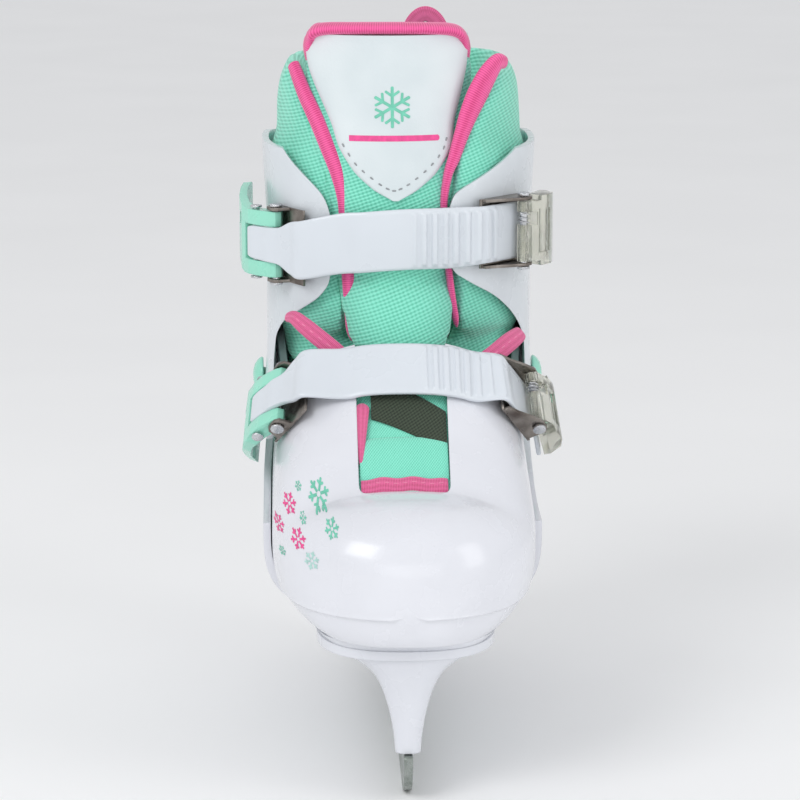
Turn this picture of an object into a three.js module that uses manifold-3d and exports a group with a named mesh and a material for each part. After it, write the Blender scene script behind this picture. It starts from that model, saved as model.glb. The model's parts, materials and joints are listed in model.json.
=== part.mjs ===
// Right-foot buckle skate: two-piece hard shell, hinged cuff, padded liner, two ladder straps, steel runner.
// Millimetres. +Z up, toe towards -Y, the wearer's right (buckle lever side) is -X.
// The origin is on the runner's ice edge, in the middle of its flat length.
import * as THREE from 'three';
import { mergeVertices } from 'three/addons/utils/BufferGeometryUtils.js';
import Module from 'manifold-3d';

const wasm = await Module();
wasm.setup();

// ---- driving sizes ----
const GAP = 0.35;
const TIP_Y = -132;
const BALL_Y = -62;
const TOE_REAR_Y = -16;
const SOLE_Z = 62;
const WIDE_Z = 90;
const TOE_HALF_WIDTH = 49.3;
const SHELL_WALL = 2.8;
const HEEL_HALF_WIDTH = TOE_HALF_WIDTH + 0.5 + SHELL_WALL;
const HEEL_BACK_Y = 104;
const PIVOT_Y = 43;
const PIVOT_Z = 128;
const CUFF_CENTRE = [1.5, 38];
const CUFF_HALF = [52.5, 60];
const CUFF_WALL = 2.6;
const CUFF_POWER = 2.5;
const BLADE_THICK = 3.2;
const HOLDER_BOTTOM = 19;
const STRAP_WIDTH = 23;
const STRAP_THICK = 2;
const TOOTH_PITCH = 4;

// ---- small helpers ----
const lerp = (a, b, t) => a + (b - a) * t;
const clamp01 = (t) => Math.min(1, Math.max(0, t));
const smooth = (t) => clamp01(t) * clamp01(t) * (3 - 2 * clamp01(t));
const spow = (v, p) => Math.sign(v) * Math.pow(Math.abs(v), p);

function surface(name, colour, roughness, metalness, extra = {}) {
  return new THREE.MeshStandardMaterial({ name, color: colour, roughness, metalness, ...extra });
}
const whitePlastic = (n) => surface(n, 0xdfe2e8, 0.28, 0);
const mintPlastic = (n) => surface(n, 0x79dfba, 0.3, 0);
const mintFabric = (n) => surface(n, 0x5fd8b0, 0.85, 0);
const pinkFabric = (n) => surface(n, 0xee4f96, 0.85, 0);
const steel = (n) => surface(n, 0x6a625c, 0.4, 0.9);
const bright = (n) => surface(n, 0xb9bcc2, 0.25, 1);
const clearPlastic = (n) => surface(n, 0xc4c3a4, 0.15, 0, { transparent: true, opacity: 0.6 });
const darkKnit = (n) => surface(n, 0x2b3128, 0.9, 0);

function solid(geometry) {
  let g = geometry.clone();
  g.deleteAttribute('normal');
  g.deleteAttribute('uv');
  g = mergeVertices(g, 1e-4);
  const m = new wasm.Mesh({ numProp: 3, vertProperties: new Float32Array(g.attributes.position.array),
    triVerts: new Uint32Array(g.index.array) });
  return new wasm.Manifold(m);
}

function toGeometry(manifold) {
  const m = manifold.getMesh();
  const g = new THREE.BufferGeometry();
  g.setAttribute('position', new THREE.BufferAttribute(new Float32Array(m.vertProperties), 3));
  g.setIndex(new THREE.BufferAttribute(new Uint32Array(m.triVerts), 1));
  g.computeVertexNormals();
  return g;
}

// A closed skin through rings of equal length, with a fan cap on each end.
function loft(rings) {
  const n = rings[0].length;
  const verts = rings.flat(2);
  const index = [];
  for (let r = 0; r < rings.length - 1; r++) {
    for (let i = 0; i < n; i++) {
      const a = r * n + i;
      const b = r * n + ((i + 1) % n);
      index.push(a, b, b + n, a, b + n, a + n);
    }
  }
  for (const [ring, flip] of [[0, true], [rings.length - 1, false]]) {
    const centre = [0, 1, 2].map((k) => rings[ring].reduce((s, p) => s + p[k], 0) / n);
    const c = verts.length / 3;
    verts.push(...centre);
    for (let i = 0; i < n; i++) {
      const a = ring * n + i;
      const b = ring * n + ((i + 1) % n);
      index.push(...(flip ? [c, b, a] : [c, a, b]));
    }
  }
  const g = new THREE.BufferGeometry();
  g.setAttribute('position', new THREE.BufferAttribute(new Float32Array(verts), 3));
  g.setIndex(index);
  let volume = 0;
  const p = (i) => new THREE.Vector3(verts[3 * i], verts[3 * i + 1], verts[3 * i + 2]);
  for (let i = 0; i < index.length; i += 3) volume += p(index[i]).dot(p(index[i + 1]).cross(p(index[i + 2])));
  if (volume < 0) {
    for (let i = 0; i < index.length; i += 3) [index[i], index[i + 1]] = [index[i + 1], index[i]];
    g.setIndex(index);
  }
  return g;
}

const box = (lo, hi) => {
  const g = new THREE.BoxGeometry(hi[0] - lo[0], hi[1] - lo[1], hi[2] - lo[2]);
  g.translate((lo[0] + hi[0]) / 2, (lo[1] + hi[1]) / 2, (lo[2] + hi[2]) / 2);
  return solid(g);
};

// A cylinder from point a to point b.
function rod(a, b, radius, sides = 12) {
  const A = new THREE.Vector3(...a);
  const B = new THREE.Vector3(...b);
  const g = new THREE.CylinderGeometry(radius, radius, A.distanceTo(B), sides);
  const q = new THREE.Quaternion().setFromUnitVectors(new THREE.Vector3(0, 1, 0), B.clone().sub(A).normalize());
  g.applyQuaternion(q);
  const mid = A.add(B).multiplyScalar(0.5);
  g.translate(mid.x, mid.y, mid.z);
  return solid(g);
}

// A turned piece: profile of [radius, height] points about the axis from `at` along `dir`.
function turned(profile, at, dir, sides = 12) {
  const g = new THREE.LatheGeometry(profile.map(([r, h]) => new THREE.Vector2(r, h)), sides);
  const d = new THREE.Vector3(...dir).normalize();
  g.applyQuaternion(new THREE.Quaternion().setFromUnitVectors(new THREE.Vector3(0, 1, 0), d));
  g.translate(...at);
  g.deleteAttribute('normal');
  g.deleteAttribute('uv');
  let m = mergeVertices(g, 1e-4);
  const idx = [];
  const src = m.index.array;
  for (let i = 0; i < src.length; i += 3) {
    const [a, b, c] = [src[i], src[i + 1], src[i + 2]];
    if (a !== b && b !== c && a !== c) idx.push(a, b, c);
  }
  m.setIndex(idx);
  const s = solid(m);
  if (s.volume() > 0) return s;
  for (let i = 0; i < idx.length; i += 3) [idx[i], idx[i + 1]] = [idx[i + 1], idx[i]];
  m.setIndex(idx);
  return solid(m);
}

// A flat outline extruded along one axis: plane 'yz' runs along X, 'xz' along Y, 'xy' along Z.
function slab(outline, plane, from, to) {
  const shape = new THREE.Shape(outline.map(([u, v]) => new THREE.Vector2(u, v)));
  const g = new THREE.ExtrudeGeometry(shape, { depth: to - from, bevelEnabled: false, curveSegments: 8 });
  const basis = new THREE.Matrix4();
  if (plane === 'yz') {
    basis.set(0, 0, 1, from, 1, 0, 0, 0, 0, 1, 0, 0, 0, 0, 0, 1);
  } else if (plane === 'xz') {
    basis.set(1, 0, 0, 0, 0, 0, -1, to, 0, 1, 0, 0, 0, 0, 0, 1);
  } else {
    basis.set(1, 0, 0, 0, 0, 1, 0, 0, 0, 0, 1, from, 0, 0, 0, 1);
  }
  g.applyMatrix4(basis);
  return solid(g);
}

const group = new THREE.Group();
group.name = 'ice_skate';
function add(name, body, paint) {
  const mesh = new THREE.Mesh(body.isBufferGeometry ? body : toGeometry(body), paint(name));
  mesh.name = name;
  group.add(mesh);
}

// ---- the foot shells ----
// Height of the shell's top line over the toes and up the instep.
function toeTop(y) {
  if (y < -95) return 84 + 28 * Math.pow(Math.max(0, 1 - Math.pow((-95 - y) / 37, 2.4)), 1 / 2.4);
  const t = (y + 95) / 53;
  return 112 + 37 * t + 7 * t * t;
}
function toeHalfWidth(y) {
  if (y >= BALL_Y) return TOE_HALF_WIDTH;
  return TOE_HALF_WIDTH * Math.pow(Math.max(0, 1 - Math.pow((BALL_Y - y) / (BALL_Y - TIP_Y), 2.7)), 1 / 2.1);
}
function toeBottomDrop(y) {
  const full = WIDE_Z - SOLE_Z + 3;
  if (y >= -95) return full;
  return full * Math.pow(Math.max(0, 1 - Math.pow((-95 - y) / 37, 4)), 1 / 4);
}
function toeMid(y) {
  return y >= -95 ? WIDE_Z : lerp(84, WIDE_Z, Math.pow(clamp01((y - TIP_Y) / 37), 0.5));
}
const UPPER_POWER = 2.35;
const LOWER_POWER = 3.2;

function footRing(y, a, mid, up, down, count = 28) {
  const ring = [];
  for (let i = 0; i < count; i++) {
    const t = (2 * Math.PI * i) / count;
    const c = Math.cos(t);
    const s = Math.sin(t);
    const n = s >= 0 ? UPPER_POWER : LOWER_POWER;
    ring.push([a * spow(c, 2 / n), y, mid + (s >= 0 ? up : down) * spow(s, 2 / n)]);
  }
  return ring;
}

function toeStations() {
  const list = [];
  for (let i = 1; i <= 8; i++) list.push(TIP_Y + (BALL_Y - TIP_Y) * (1 - Math.cos((i / 8) * Math.PI / 2)));
  return [...list, -46, -31, TOE_REAR_Y];
}

function toeSkin(inset, stretch = 0, count = 28) {
  const rings = toeStations().map((y0, i) => {
    const y = i === 0 ? TIP_Y + 0.35 : y0;
    const mid = toeMid(y);
    const a = Math.max(0.5, toeHalfWidth(y) - inset);
    const up = Math.max(0.4, toeTop(y) - mid - inset * 1.05);
    const down = Math.max(0.4, toeBottomDrop(y) - inset);
    const shift = inset * Math.pow(clamp01((BALL_Y - y) / (BALL_Y - TIP_Y)), 3);
    return footRing(y + shift + (i === 10 ? stretch : 0), a, mid, up, down, count);
  });
  return solid(loft(rings));
}

// Is the point inside the toe shell's outer skin? Used to run straps and buckles over the shell.
function insideToe(x, y, z) {
  const a = toeHalfWidth(y);
  const mid = toeMid(y);
  const up = toeTop(y) - mid;
  const down = toeBottomDrop(y);
  if (z >= mid) return Math.pow(Math.abs(x / a), UPPER_POWER) + Math.pow((z - mid) / up, UPPER_POWER) < 1;
  return Math.pow(Math.abs(x / a), LOWER_POWER) + Math.pow((mid - z) / down, LOWER_POWER) < 1;
}
function insideCuff(x, y) {
  return Math.pow(Math.abs((x - CUFF_CENTRE[0]) / CUFF_HALF[0]), CUFF_POWER)
    + Math.pow(Math.abs((y - CUFF_CENTRE[1]) / CUFF_HALF[1]), CUFF_POWER) < 1;
}
function hit(inside, origin, dir) {
  let lo = 0;
  let hi = 120;
  for (let k = 0; k < 40; k++) {
    const mid = (lo + hi) / 2;
    const p = origin.map((o, i) => o + dir[i] * mid);
    if (inside(...p)) lo = mid; else hi = mid;
  }
  return origin.map((o, i) => o + dir[i] * lo);
}

const above = (z, y0 = -200, y1 = 200) => box([-90, y0, z], [90, y1, 300]);
const below = (z) => box([-90, -200, -10], [90, 200, z]);

// The window in the toe shell, from the instep opening down towards the toes.
const WINDOW_HALF = 17.4;
const WINDOW_FRONT_Y = -95;
function windowCut() {
  const outline = [[-WINDOW_HALF, 10], [-WINDOW_HALF, WINDOW_FRONT_Y + 4], [-WINDOW_HALF + 4, WINDOW_FRONT_Y],
    [WINDOW_HALF - 4, WINDOW_FRONT_Y], [WINDOW_HALF, WINDOW_FRONT_Y + 4], [WINDOW_HALF, 10]];
  return slab(outline, 'xy', 95, 200);
}
// The throat: the shell ends in round lobes beside the instep.
function throatCut() {
  return slab([[-42, 200], [-40, 156], [-33, 148], [-22, 143], [-8, 136], [30, 132], [30, 200]], 'yz', -90, 90);
}

function toeShell(holes) {
  const inner = toeSkin(SHELL_WALL, 5).subtract(below(SOLE_Z + 2.6));
  let s = toeSkin(0).subtract(below(SOLE_Z + GAP)).subtract(inner).subtract(windowCut()).subtract(throatCut());
  s = s.subtract(box([-4.5, -34.5, 55], [4.5, 0, 70]));
  for (const h of holes) s = s.subtract(h);
  return s;
}

// Heel shell: constant at the front, where the toe shell slides in it, then narrowing to the heel.
function heelHalfWidth(y) {
  if (y < -14) return HEEL_HALF_WIDTH;
  if (y < 50) return lerp(HEEL_HALF_WIDTH, 49.2, smooth((y + 14) / 64));
  return 49.2 * Math.pow(Math.max(0, 1 - Math.pow((y - 50) / (HEEL_BACK_Y - 50), 2.6)), 1 / 2.3);
}
function heelSkin(inset, count = 30) {
  const ys = [-60, -14, 4, 22, 38, 54, 70, 84, 94, 100, 103.2];
  const rings = ys.map((y, i) => {
    const rise = smooth((y + 14) / 58);
    const mid = lerp(WIDE_Z, 128, rise);
    const down = mid - SOLE_Z + lerp(3, 14, rise) + SHELL_WALL + 0.5;
    const power = lerp(LOWER_POWER, 2.3, rise);
    const a = Math.max(1, heelHalfWidth(y) - inset);
    const ring = [];
    for (let k = 0; k < count; k++) {
      const t = (2 * Math.PI * k) / count;
      const s = Math.sin(t);
      const n = s >= 0 ? 3 : power;
      ring.push([CUFF_CENTRE[0] * rise + a * spow(Math.cos(t), 2 / n),
        y - (i === 0 ? inset * 4 : 0) - (i > 7 ? inset : 0),
        mid + (s >= 0 ? 60 : down - inset) * spow(s, 2 / n)]);
    }
    return ring;
  });
  return solid(loft(rings));
}
// The heel shell is drawn in above its side edge so that it nests inside the cuff.
function heelBody(inset, count = 30) {
  return heelSkin(inset, count).subtract(above(111, -13, 200).subtract(cuffSkin(CUFF_WALL + 1.4 + inset, 90, 250, 5)));
}
function heelTopCut() {
  return slab([[-90, 300], [-90, 92], [-52, 92], [-36, 93], [-18, 97], [-4, 106], [10, 126], [24, 143],
    [34, 148], [56, 148], [72, 144], [96, 136], [125, 132], [125, 300]], 'yz', -90, 90);
}
const PIVOT_HOLE = 3.4;
function heelShell() {
  const inner = heelBody(SHELL_WALL).subtract(below(SOLE_Z));
  let s = heelBody(0).subtract(below(SOLE_Z - 2.6)).subtract(inner).subtract(heelTopCut());
  s = s.subtract(rod([-90, PIVOT_Y, PIVOT_Z], [90, PIVOT_Y, PIVOT_Z], PIVOT_HOLE, 24));
  for (const [x, y] of SOLE_SCREWS) s = s.subtract(rod([x, y, 40], [x, y, 80], 2.3));
  return s.subtract(rod([0, -30, 40], [0, -30, 80], 4.3, 20)).subtract(box([-60, -90, 50], [60, -56, 62]));
}
const SOLE_SCREWS = [[-13, 40], [13, 40], [-12, 78], [12, 78]];

// ---- the ankle cuff ----
function ovalRing(z, a, b, centre, power, count = 32, lean = 0) {
  const ring = [];
  for (let i = 0; i < count; i++) {
    const t = (2 * Math.PI * i) / count;
    ring.push([centre[0] + a * spow(Math.cos(t), 2 / power), centre[1] + lean + b * spow(Math.sin(t), 2 / power), z]);
  }
  return ring;
}
function cuffFlare(z) {
  return z < 150 ? lerp(1.8, 0, smooth((z - 110) / 40)) : lerp(0, 1.5, smooth((z - 190) / 40));
}
function cuffSkin(inset, low, high, short = 0) {
  const zs = [low, 120, 150, 185, 215, high];
  return solid(loft(zs.map((z) => {
    const flare = cuffFlare(z);
    return ovalRing(z, CUFF_HALF[0] - inset + flare, CUFF_HALF[1] - inset - short, CUFF_CENTRE, CUFF_POWER);
  })));
}
// The front opening between the two wings, as seen from the toe.
const CUFF_OPENING = [[-47, 260], [-47, 222], [-42, 214], [-35, 206.5], [-29.5, 201], [-27, 193], [-27, 172],
  [-30.5, 165], [-38, 159.5], [-44, 154], [-47.5, 147], [-48.5, 139], [-48.5, 98], [48.8, 98], [48.8, 139], [48, 146],
  [45, 153], [41, 158], [36, 163], [26, 168], [20, 174], [18.5, 196], [22, 200], [27, 203.5], [33, 208],
  [41, 214.5], [48, 218], [48, 260]];
function cuffSideCut() {
  return slab([[-60, 300], [-60, 214], [20, 217], [38, 224], [60, 226], [84, 222], [120, 220], [120, 300]],
    'yz', -90, 90);
}
function cuffBottomCut() {
  return slab([[-60, 60], [-60, 134], [-20, 130], [4, 122], [20, 115], [56, 114], [76, 118], [130, 126], [130, 60]],
    'yz', -90, 90);
}
function cuffShell(holes) {
  const outer = cuffSkin(0, 98, 240);
  const inner = cuffSkin(CUFF_WALL, 90, 250);
  let s = outer.subtract(inner).subtract(slab(CUFF_OPENING, 'xz', -60, 22));
  s = s.subtract(cuffSideCut()).subtract(cuffBottomCut());
  s = s.subtract(rod([-90, PIVOT_Y, PIVOT_Z], [90, PIVOT_Y, PIVOT_Z], PIVOT_HOLE, 24));
  for (const h of holes) s = s.subtract(h);
  return s;
}

// ---- buckles: one kit, placed on the cuff and on the toe shell ----
// Local axes: t along the strap towards its end, w across the strap, n away from the shell.
function placement(at, t, n) {
  const T = new THREE.Vector3(...t).normalize();
  const N = new THREE.Vector3(...n).normalize();
  const W = N.clone().cross(T).normalize();
  const M = new THREE.Matrix4().makeBasis(T, W, N);
  M.setPosition(...at);
  return M;
}
function placed(M, body) {
  const g = toGeometry(body);
  g.applyMatrix4(M);
  return solid(g);
}

const PIN_R = 1.6;
const PLATE_N = -4.2;
const PLATE_T = 1;
const FORK_IN = 7;
const FORK_OUT = 12.8;

function leverBase() {
  let s = box([-15, -14.6, PLATE_N], [8, 14.6, PLATE_N + PLATE_T]);
  for (const side of [-1, 1]) {
    const ear = slab([[-5, PLATE_N + 0.2], [6, PLATE_N + 0.2], [4, 1.5], [2, 2.8], [-2, 2.8], [-4, 1.5]], 'xz', -0.6, 0.6)
      .translate([0, side * 14, 0]);
    s = s.add(ear);
  }
  s = s.subtract(rod([0, -20, 0], [0, 20, 0], PIN_R + 0.06));
  return s.subtract(rod([-10.5, 0, -9], [-10.5, 0, 0], 1.9));
}
function leverRivet() {
  return turned([[0, -4.9], [3.2, -4.9], [3.2, -3.9], [1.6, -3.9], [1.6, 1.15], [3.3, 1.15], [2.6, 2.1], [1.2, 2.6],
    [0, 2.7]], [-10.5, 0, PLATE_N], [0, 0, 1]);
}
const leverPin = () => turned([[0, -15.7], [2.6, -15.7], [2.6, -14.8], [PIN_R, -14.8], [PIN_R, 14.8], [2.6, 14.8],
  [2.6, 15.7], [0, 15.7]], [0, 0, 0], [0, 1, 0]);
const STRAP_PIN = [10, 3.0];
function cuffLever() {
  const side = slab([[-2.4, -0.9], [-2.1, 1.5], [0, 2.9], [6, 5], [12, 5.6], [19, 4.4], [27, 0.8], [35, -4.4], [43, -11],
    [44, -13.4], [41.5, -13.6], [34, -7.2], [27, -2.8], [20, 0], [16, 0.4], [10, -0.2], [5, -1.6], [1, -2.4], [-1.4, -2.1]],
  'xz', -30, 30);
  const plan = slab([[-6, -FORK_OUT], [14, -FORK_OUT], [22, -14.4], [32, -17], [40, -18.5], [46, -16], [47, -10],
    [42, -2], [32, 5], [24, 10], [16, FORK_OUT], [-6, FORK_OUT]], 'xy', -20, 20);
  let s = side.intersect(plan);
  s = s.subtract(box([-10, -FORK_IN, -20], [15, FORK_IN, 20]));
  s = s.subtract(box([21, -10, -20], [30, -5, 20]));
  s = s.subtract(rod([0, -20, 0], [0, 20, 0], PIN_R + 0.06));
  return s.subtract(rod([STRAP_PIN[0], -20, STRAP_PIN[1]], [STRAP_PIN[0], 20, STRAP_PIN[1]], 1.46));
}
const strapPin = () => turned([[0, -14.3], [2.3, -14.3], [2.3, -13.5], [1.4, -13.5], [1.4, 13.5], [2.3, 13.5],
  [2.3, 14.3], [0, 14.3]], [STRAP_PIN[0], 0, STRAP_PIN[1]], [0, 1, 0]);

const RELEASE_PIN = [4, 3];
function receiverBase() {
  let s = box([-14, -13.4, PLATE_N], [9, 13.4, PLATE_N + PLATE_T]);
  for (const side of [-1, 1]) {
    const ear = slab([[-13, PLATE_N + 0.2], [8, PLATE_N + 0.2], [8, 4], [6, 5.6], [2, 5.8], [-2, 4], [-8, 0.6],
      [-13, -1.6]], 'xz', -0.6, 0.6).translate([0, side * 12.8, 0]);
    s = s.add(ear);
  }
  s = s.subtract(rod([RELEASE_PIN[0], -20, RELEASE_PIN[1]], [RELEASE_PIN[0], 20, RELEASE_PIN[1]], PIN_R + 0.06));
  return s.subtract(rod([-6, 0, -9], [-6, 0, 0], 1.9));
}
const receiverRivet = () => turned([[0, -4.9], [3.2, -4.9], [3.2, -3.9], [1.6, -3.9], [1.6, 1.15], [3, 1.15], [2.4, 1.7],
  [0, 1.8]], [-6, 0, PLATE_N], [0, 0, 1]);
const releasePin = () => turned([[0, -14.8], [2.5, -14.8], [2.5, -13.8], [PIN_R, -13.8], [PIN_R, 13.8], [2.5, 13.8],
  [2.5, 14.8], [0, 14.8]], [RELEASE_PIN[0], 0, RELEASE_PIN[1]], [0, 1, 0]);
function clearRelease() {
  const [pt, pn] = RELEASE_PIN;
  let s = slab([[1.4, 3.6], [1.6, 1.8], [3, 0.7], [6.6, 0.6], [7.4, 0], [9, 0], [9.6, 0.6], [17, -1.6], [20, -2.4],
    [21, 0], [19, 5.2], [15.5, 7.4], [7, 7.6], [2.4, 6]], 'xz', -11.7, 11.7);
  s = s.add(slab([[9.2, 0.6], [17, -1.6], [20, -2.4], [21, 0], [19, 5.2], [15.5, 7.4], [9.2, 7.6]], 'xz', -13.6, 13.6));
  s = s.subtract(box([8.5, -8.5, 6.4], [14.5, 8.5, 20]));
  s = s.subtract(box([pt - 2.9, 2.4, -2], [pt + 3.2, 7.6, 12]));
  return s.subtract(rod([pt, -20, pn], [pt, 20, pn], PIN_R + 0.08));
}
function releaseSpring() {
  const [pt, pn] = RELEASE_PIN;
  class Coil extends THREE.Curve {
    getPoint(u) {
      if (u < 0.12) return new THREE.Vector3(pt + 2.25, 3, pn - (0.12 - u) * 14);
      const k = (u - 0.12) / 0.88;
      const ang = k * Math.PI * 5;
      return new THREE.Vector3(pt + 2.25 * Math.cos(ang), 3 + k * 4, pn + 2.25 * Math.sin(ang));
    }
  }
  const ring = new THREE.Shape();
  for (let i = 0; i < 6; i++) {
    const a = (i / 6) * Math.PI * 2;
    if (i === 0) ring.moveTo(0.3 * Math.cos(a), 0.3 * Math.sin(a));
    else ring.lineTo(0.3 * Math.cos(a), 0.3 * Math.sin(a));
  }
  return solid(new THREE.ExtrudeGeometry(ring, { steps: 22, extrudePath: new Coil(), bevelEnabled: false }));
}

// ---- where the buckles sit ----
const UPPER_Z = 189;
const RECEIVER_Z = 195;
function onCuff(x, z) {
  const y = CUFF_CENTRE[1] - CUFF_HALF[1] * Math.pow(1 - Math.pow(Math.abs((x - CUFF_CENTRE[0]) / CUFF_HALF[0]),
    CUFF_POWER), 1 / CUFF_POWER);
  const nx = Math.sign(x - CUFF_CENTRE[0]) * Math.pow(Math.abs((x - CUFF_CENTRE[0]) / CUFF_HALF[0]), CUFF_POWER - 1)
    / CUFF_HALF[0];
  const ny = -Math.pow(Math.abs((y - CUFF_CENTRE[1]) / CUFF_HALF[1]), CUFF_POWER - 1) / CUFF_HALF[1];
  const len = Math.hypot(nx, ny);
  return { p: [x, y, z], n: [nx / len, ny / len, 0] };
}
const lift = (hitPoint, d) => hitPoint.p.map((v, i) => v + hitPoint.n[i] * d);
const leftHit = onCuff(-43, UPPER_Z);
const rightHit = onCuff(40, RECEIVER_Z);
const SEAT = -PLATE_N + 0.4;
const UPPER_LEVER = placement(lift(leftHit, SEAT + 0.2), [leftHit.n[1], -leftHit.n[0], 0], leftHit.n);
const UPPER_RECEIVER = placement(lift(rightHit, SEAT), [-rightHit.n[1], rightHit.n[0], 0], rightHit.n);

// The lower strap lies in a plane square to the instep.
const INSTEP_Y = -51;
const STRAP_DOWN = [0, 0.66, -0.7513];
const STRAP_ACROSS = [0, 0.7513, 0.66];
function strapPlaneHit(angle, shift = 0) {
  const origin = [0, INSTEP_Y, toeTop(INSTEP_Y)].map((v, i) => v + STRAP_DOWN[i] * 46 + STRAP_ACROSS[i] * shift);
  const ray = (a) => [Math.sin(a), 0, 0].map((v, i) => v - STRAP_DOWN[i] * Math.cos(a));
  const e = 0.01;
  const p = hit(insideToe, origin, ray(angle));
  const q0 = hit(insideToe, origin, ray(angle - e));
  const q1 = hit(insideToe, origin, ray(angle + e));
  const T = new THREE.Vector3(q1[0] - q0[0], q1[1] - q0[1], q1[2] - q0[2]).normalize();
  const N = T.clone().cross(new THREE.Vector3(...STRAP_ACROSS)).normalize();
  return { p, n: N.toArray(), t: T.toArray() };
}
// The same point with the shell's own normal, for a plate that lies flat on the shell.
function seatOnToe(angle) {
  const mid = strapPlaneHit(angle);
  const front = strapPlaneHit(angle, -9).p;
  const rear = strapPlaneHit(angle, 9).p;
  const W = new THREE.Vector3(rear[0] - front[0], rear[1] - front[1], rear[2] - front[2]).normalize();
  const T = new THREE.Vector3(...mid.t);
  const N = T.clone().cross(W).normalize();
  T.addScaledVector(N, -T.dot(N)).normalize();
  return { p: mid.p, n: N.toArray(), t: T.toArray() };
}
const lowLeft = seatOnToe(-0.98);
const lowRight = seatOnToe(1.0);
const LOWER_LEVER = placement(lift(lowLeft, SEAT + 0.9), lowLeft.t.map((v) => -v), lowLeft.n);
const LOWER_RECEIVER = placement(lift(lowRight, SEAT + 0.9), lowRight.t, lowRight.n);

// ---- ladder straps ----
// A ribbon through stations {p, n, w, half, lo, hi}: centre, outward, across, half width, inner and outer height.
function ribbon(stations) {
  return solid(loft(stations.map((s) => {
    const corner = (side, h) => s.p.map((v, i) => v + s.w[i] * side * s.half + s.n[i] * h);
    return [corner(-1, s.lo), corner(1, s.lo), corner(1, s.hi), corner(-1, s.hi)];
  })));
}
const fromLocal = (M, v) => new THREE.Vector3(...v).applyMatrix4(M).toArray();
const turn = (M, v) => new THREE.Vector3(...v).transformDirection(M).toArray();

// Strap path: over the lever hump, across the front, into the receiver and out behind it.
function strapStations(M, R, across, w) {
  const list = [];
  const own = alongside(M, w);
  const put = (p, n, half, lo, hi) => list.push({ p, n, w: own, half, lo, hi });
  const wL = (v) => fromLocal(M, v);
  const nL = (v) => turn(M, v);
  put(wL([13, 0, 3.4]), nL([0.45, 0, 1]), 4.6, -1.4, 1.4);
  put(wL([11.8, 0, 3.1]), nL([0.25, 0, 1]), 6.2, -2.6, 2.6);
  put(wL([8.6, 0, 3.0]), nL([-0.1, 0, 1]), 6.6, -2.2, 2.5);
  put(wL([4.5, 0, 3.2]), nL([-0.1, 0, 1]), 6.6, -1, 1.5);
  put(wL([0, 0, 2.9]), nL([-0.2, 0, 1]), 6.6, -1, 1.2);
  put(wL([-5.4, 0, 1.0]), nL([-0.25, 0, 1]), 6.7, -1, 1.1);
  put(wL([-12, 0, 0]), nL([-0.12, 0, 1]), 9.8, -1, 1);
  put(wL([-18, 0, -1.5]), nL([-0.16, 0, 1]), 11.4, -1, 1);
  for (const s of across) list.push({ w, ...s });
  return list;
}
function teeth(pathAt, from, to, length) {
  const count = Math.round(length / TOOTH_PITCH);
  const out = [];
  for (let i = 0; i < count; i++) {
    for (const [f, hi] of [[0.0, STRAP_THICK], [0.12, STRAP_THICK + 0.9], [0.5, STRAP_THICK + 0.9], [0.62, STRAP_THICK]]) {
      const s = pathAt(lerp(from, to, (i + f) / count));
      out.push({ ...s, half: STRAP_WIDTH / 2 - 0.4, lo: 0, hi });
    }
  }
  return out;
}
// A frame's across direction, pointing the same way as the strap's.
function alongside(M, w) {
  const edge = new THREE.Vector3(...turn(M, [0, 1, 0]));
  return edge.dot(new THREE.Vector3(...w)) < 0 ? edge.negate().toArray() : edge.toArray();
}
// Inner face of the strap through a receiver: [t, n, slope].
const RECEIVER_RUN = [[-15.5, -2.7, -0.1], [-8, -2.2, 0], [8, -2.3, 0.05], [14, -3.3, 0.2], [22, -6.2, 0.4]];
function upperStrap() {
  const pathAt = (x) => {
    const h = onCuff(x, 0);
    const z = lerp(UPPER_Z + 1, RECEIVER_Z, clamp01((x + 46) / 92));
    h.p[2] = z;
    return { p: lift(h, 1.1), n: h.n };
  };
  const across = [];
  for (const x of [-19, -12, -4]) across.push({ ...pathAt(x), half: STRAP_WIDTH / 2, lo: 0, hi: STRAP_THICK });
  across.push(...teeth(pathAt, 2, 24, 24));
  for (const [t, n, k] of RECEIVER_RUN) {
    const p = fromLocal(UPPER_RECEIVER, [t, 0, n]);
    across.push({ p, n: turn(UPPER_RECEIVER, [k, 0, 1]), w: alongside(UPPER_RECEIVER, [0, 0, 1]), half: 11, lo: 0, hi: 1.9 });
  }
  return ribbon(strapStations(UPPER_LEVER, UPPER_RECEIVER, across, [0, 0, 1]))
    .subtract(rod(fromLocal(UPPER_LEVER, [STRAP_PIN[0], -20, STRAP_PIN[1]]), fromLocal(UPPER_LEVER, [STRAP_PIN[0], 20, STRAP_PIN[1]]), 1.55));
}
function lowerStrap() {
  const pathAt = (a) => {
    const h = strapPlaneHit(a);
    return { p: lift(h, 1.4), n: h.n };
  };
  const across = [];
  for (const a of [-0.36, -0.2, -0.04]) {
    across.push({ ...pathAt(a), half: STRAP_WIDTH / 2, lo: 0, hi: STRAP_THICK });
  }
  across.push(...teeth(pathAt, 0.08, 0.56, 24));
  for (const [t, n, k] of RECEIVER_RUN) {
    const p = fromLocal(LOWER_RECEIVER, [t, 0, n]);
    across.push({ p, n: turn(LOWER_RECEIVER, [k, 0, 1]), w: alongside(LOWER_RECEIVER, STRAP_ACROSS), half: 11, lo: 0, hi: 1.9 });
  }
  return ribbon(strapStations(LOWER_LEVER, LOWER_RECEIVER, across, STRAP_ACROSS))
    .subtract(rod(fromLocal(LOWER_LEVER, [STRAP_PIN[0], -20, STRAP_PIN[1]]), fromLocal(LOWER_LEVER, [STRAP_PIN[0], 20, STRAP_PIN[1]]), 1.55));
}

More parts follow.
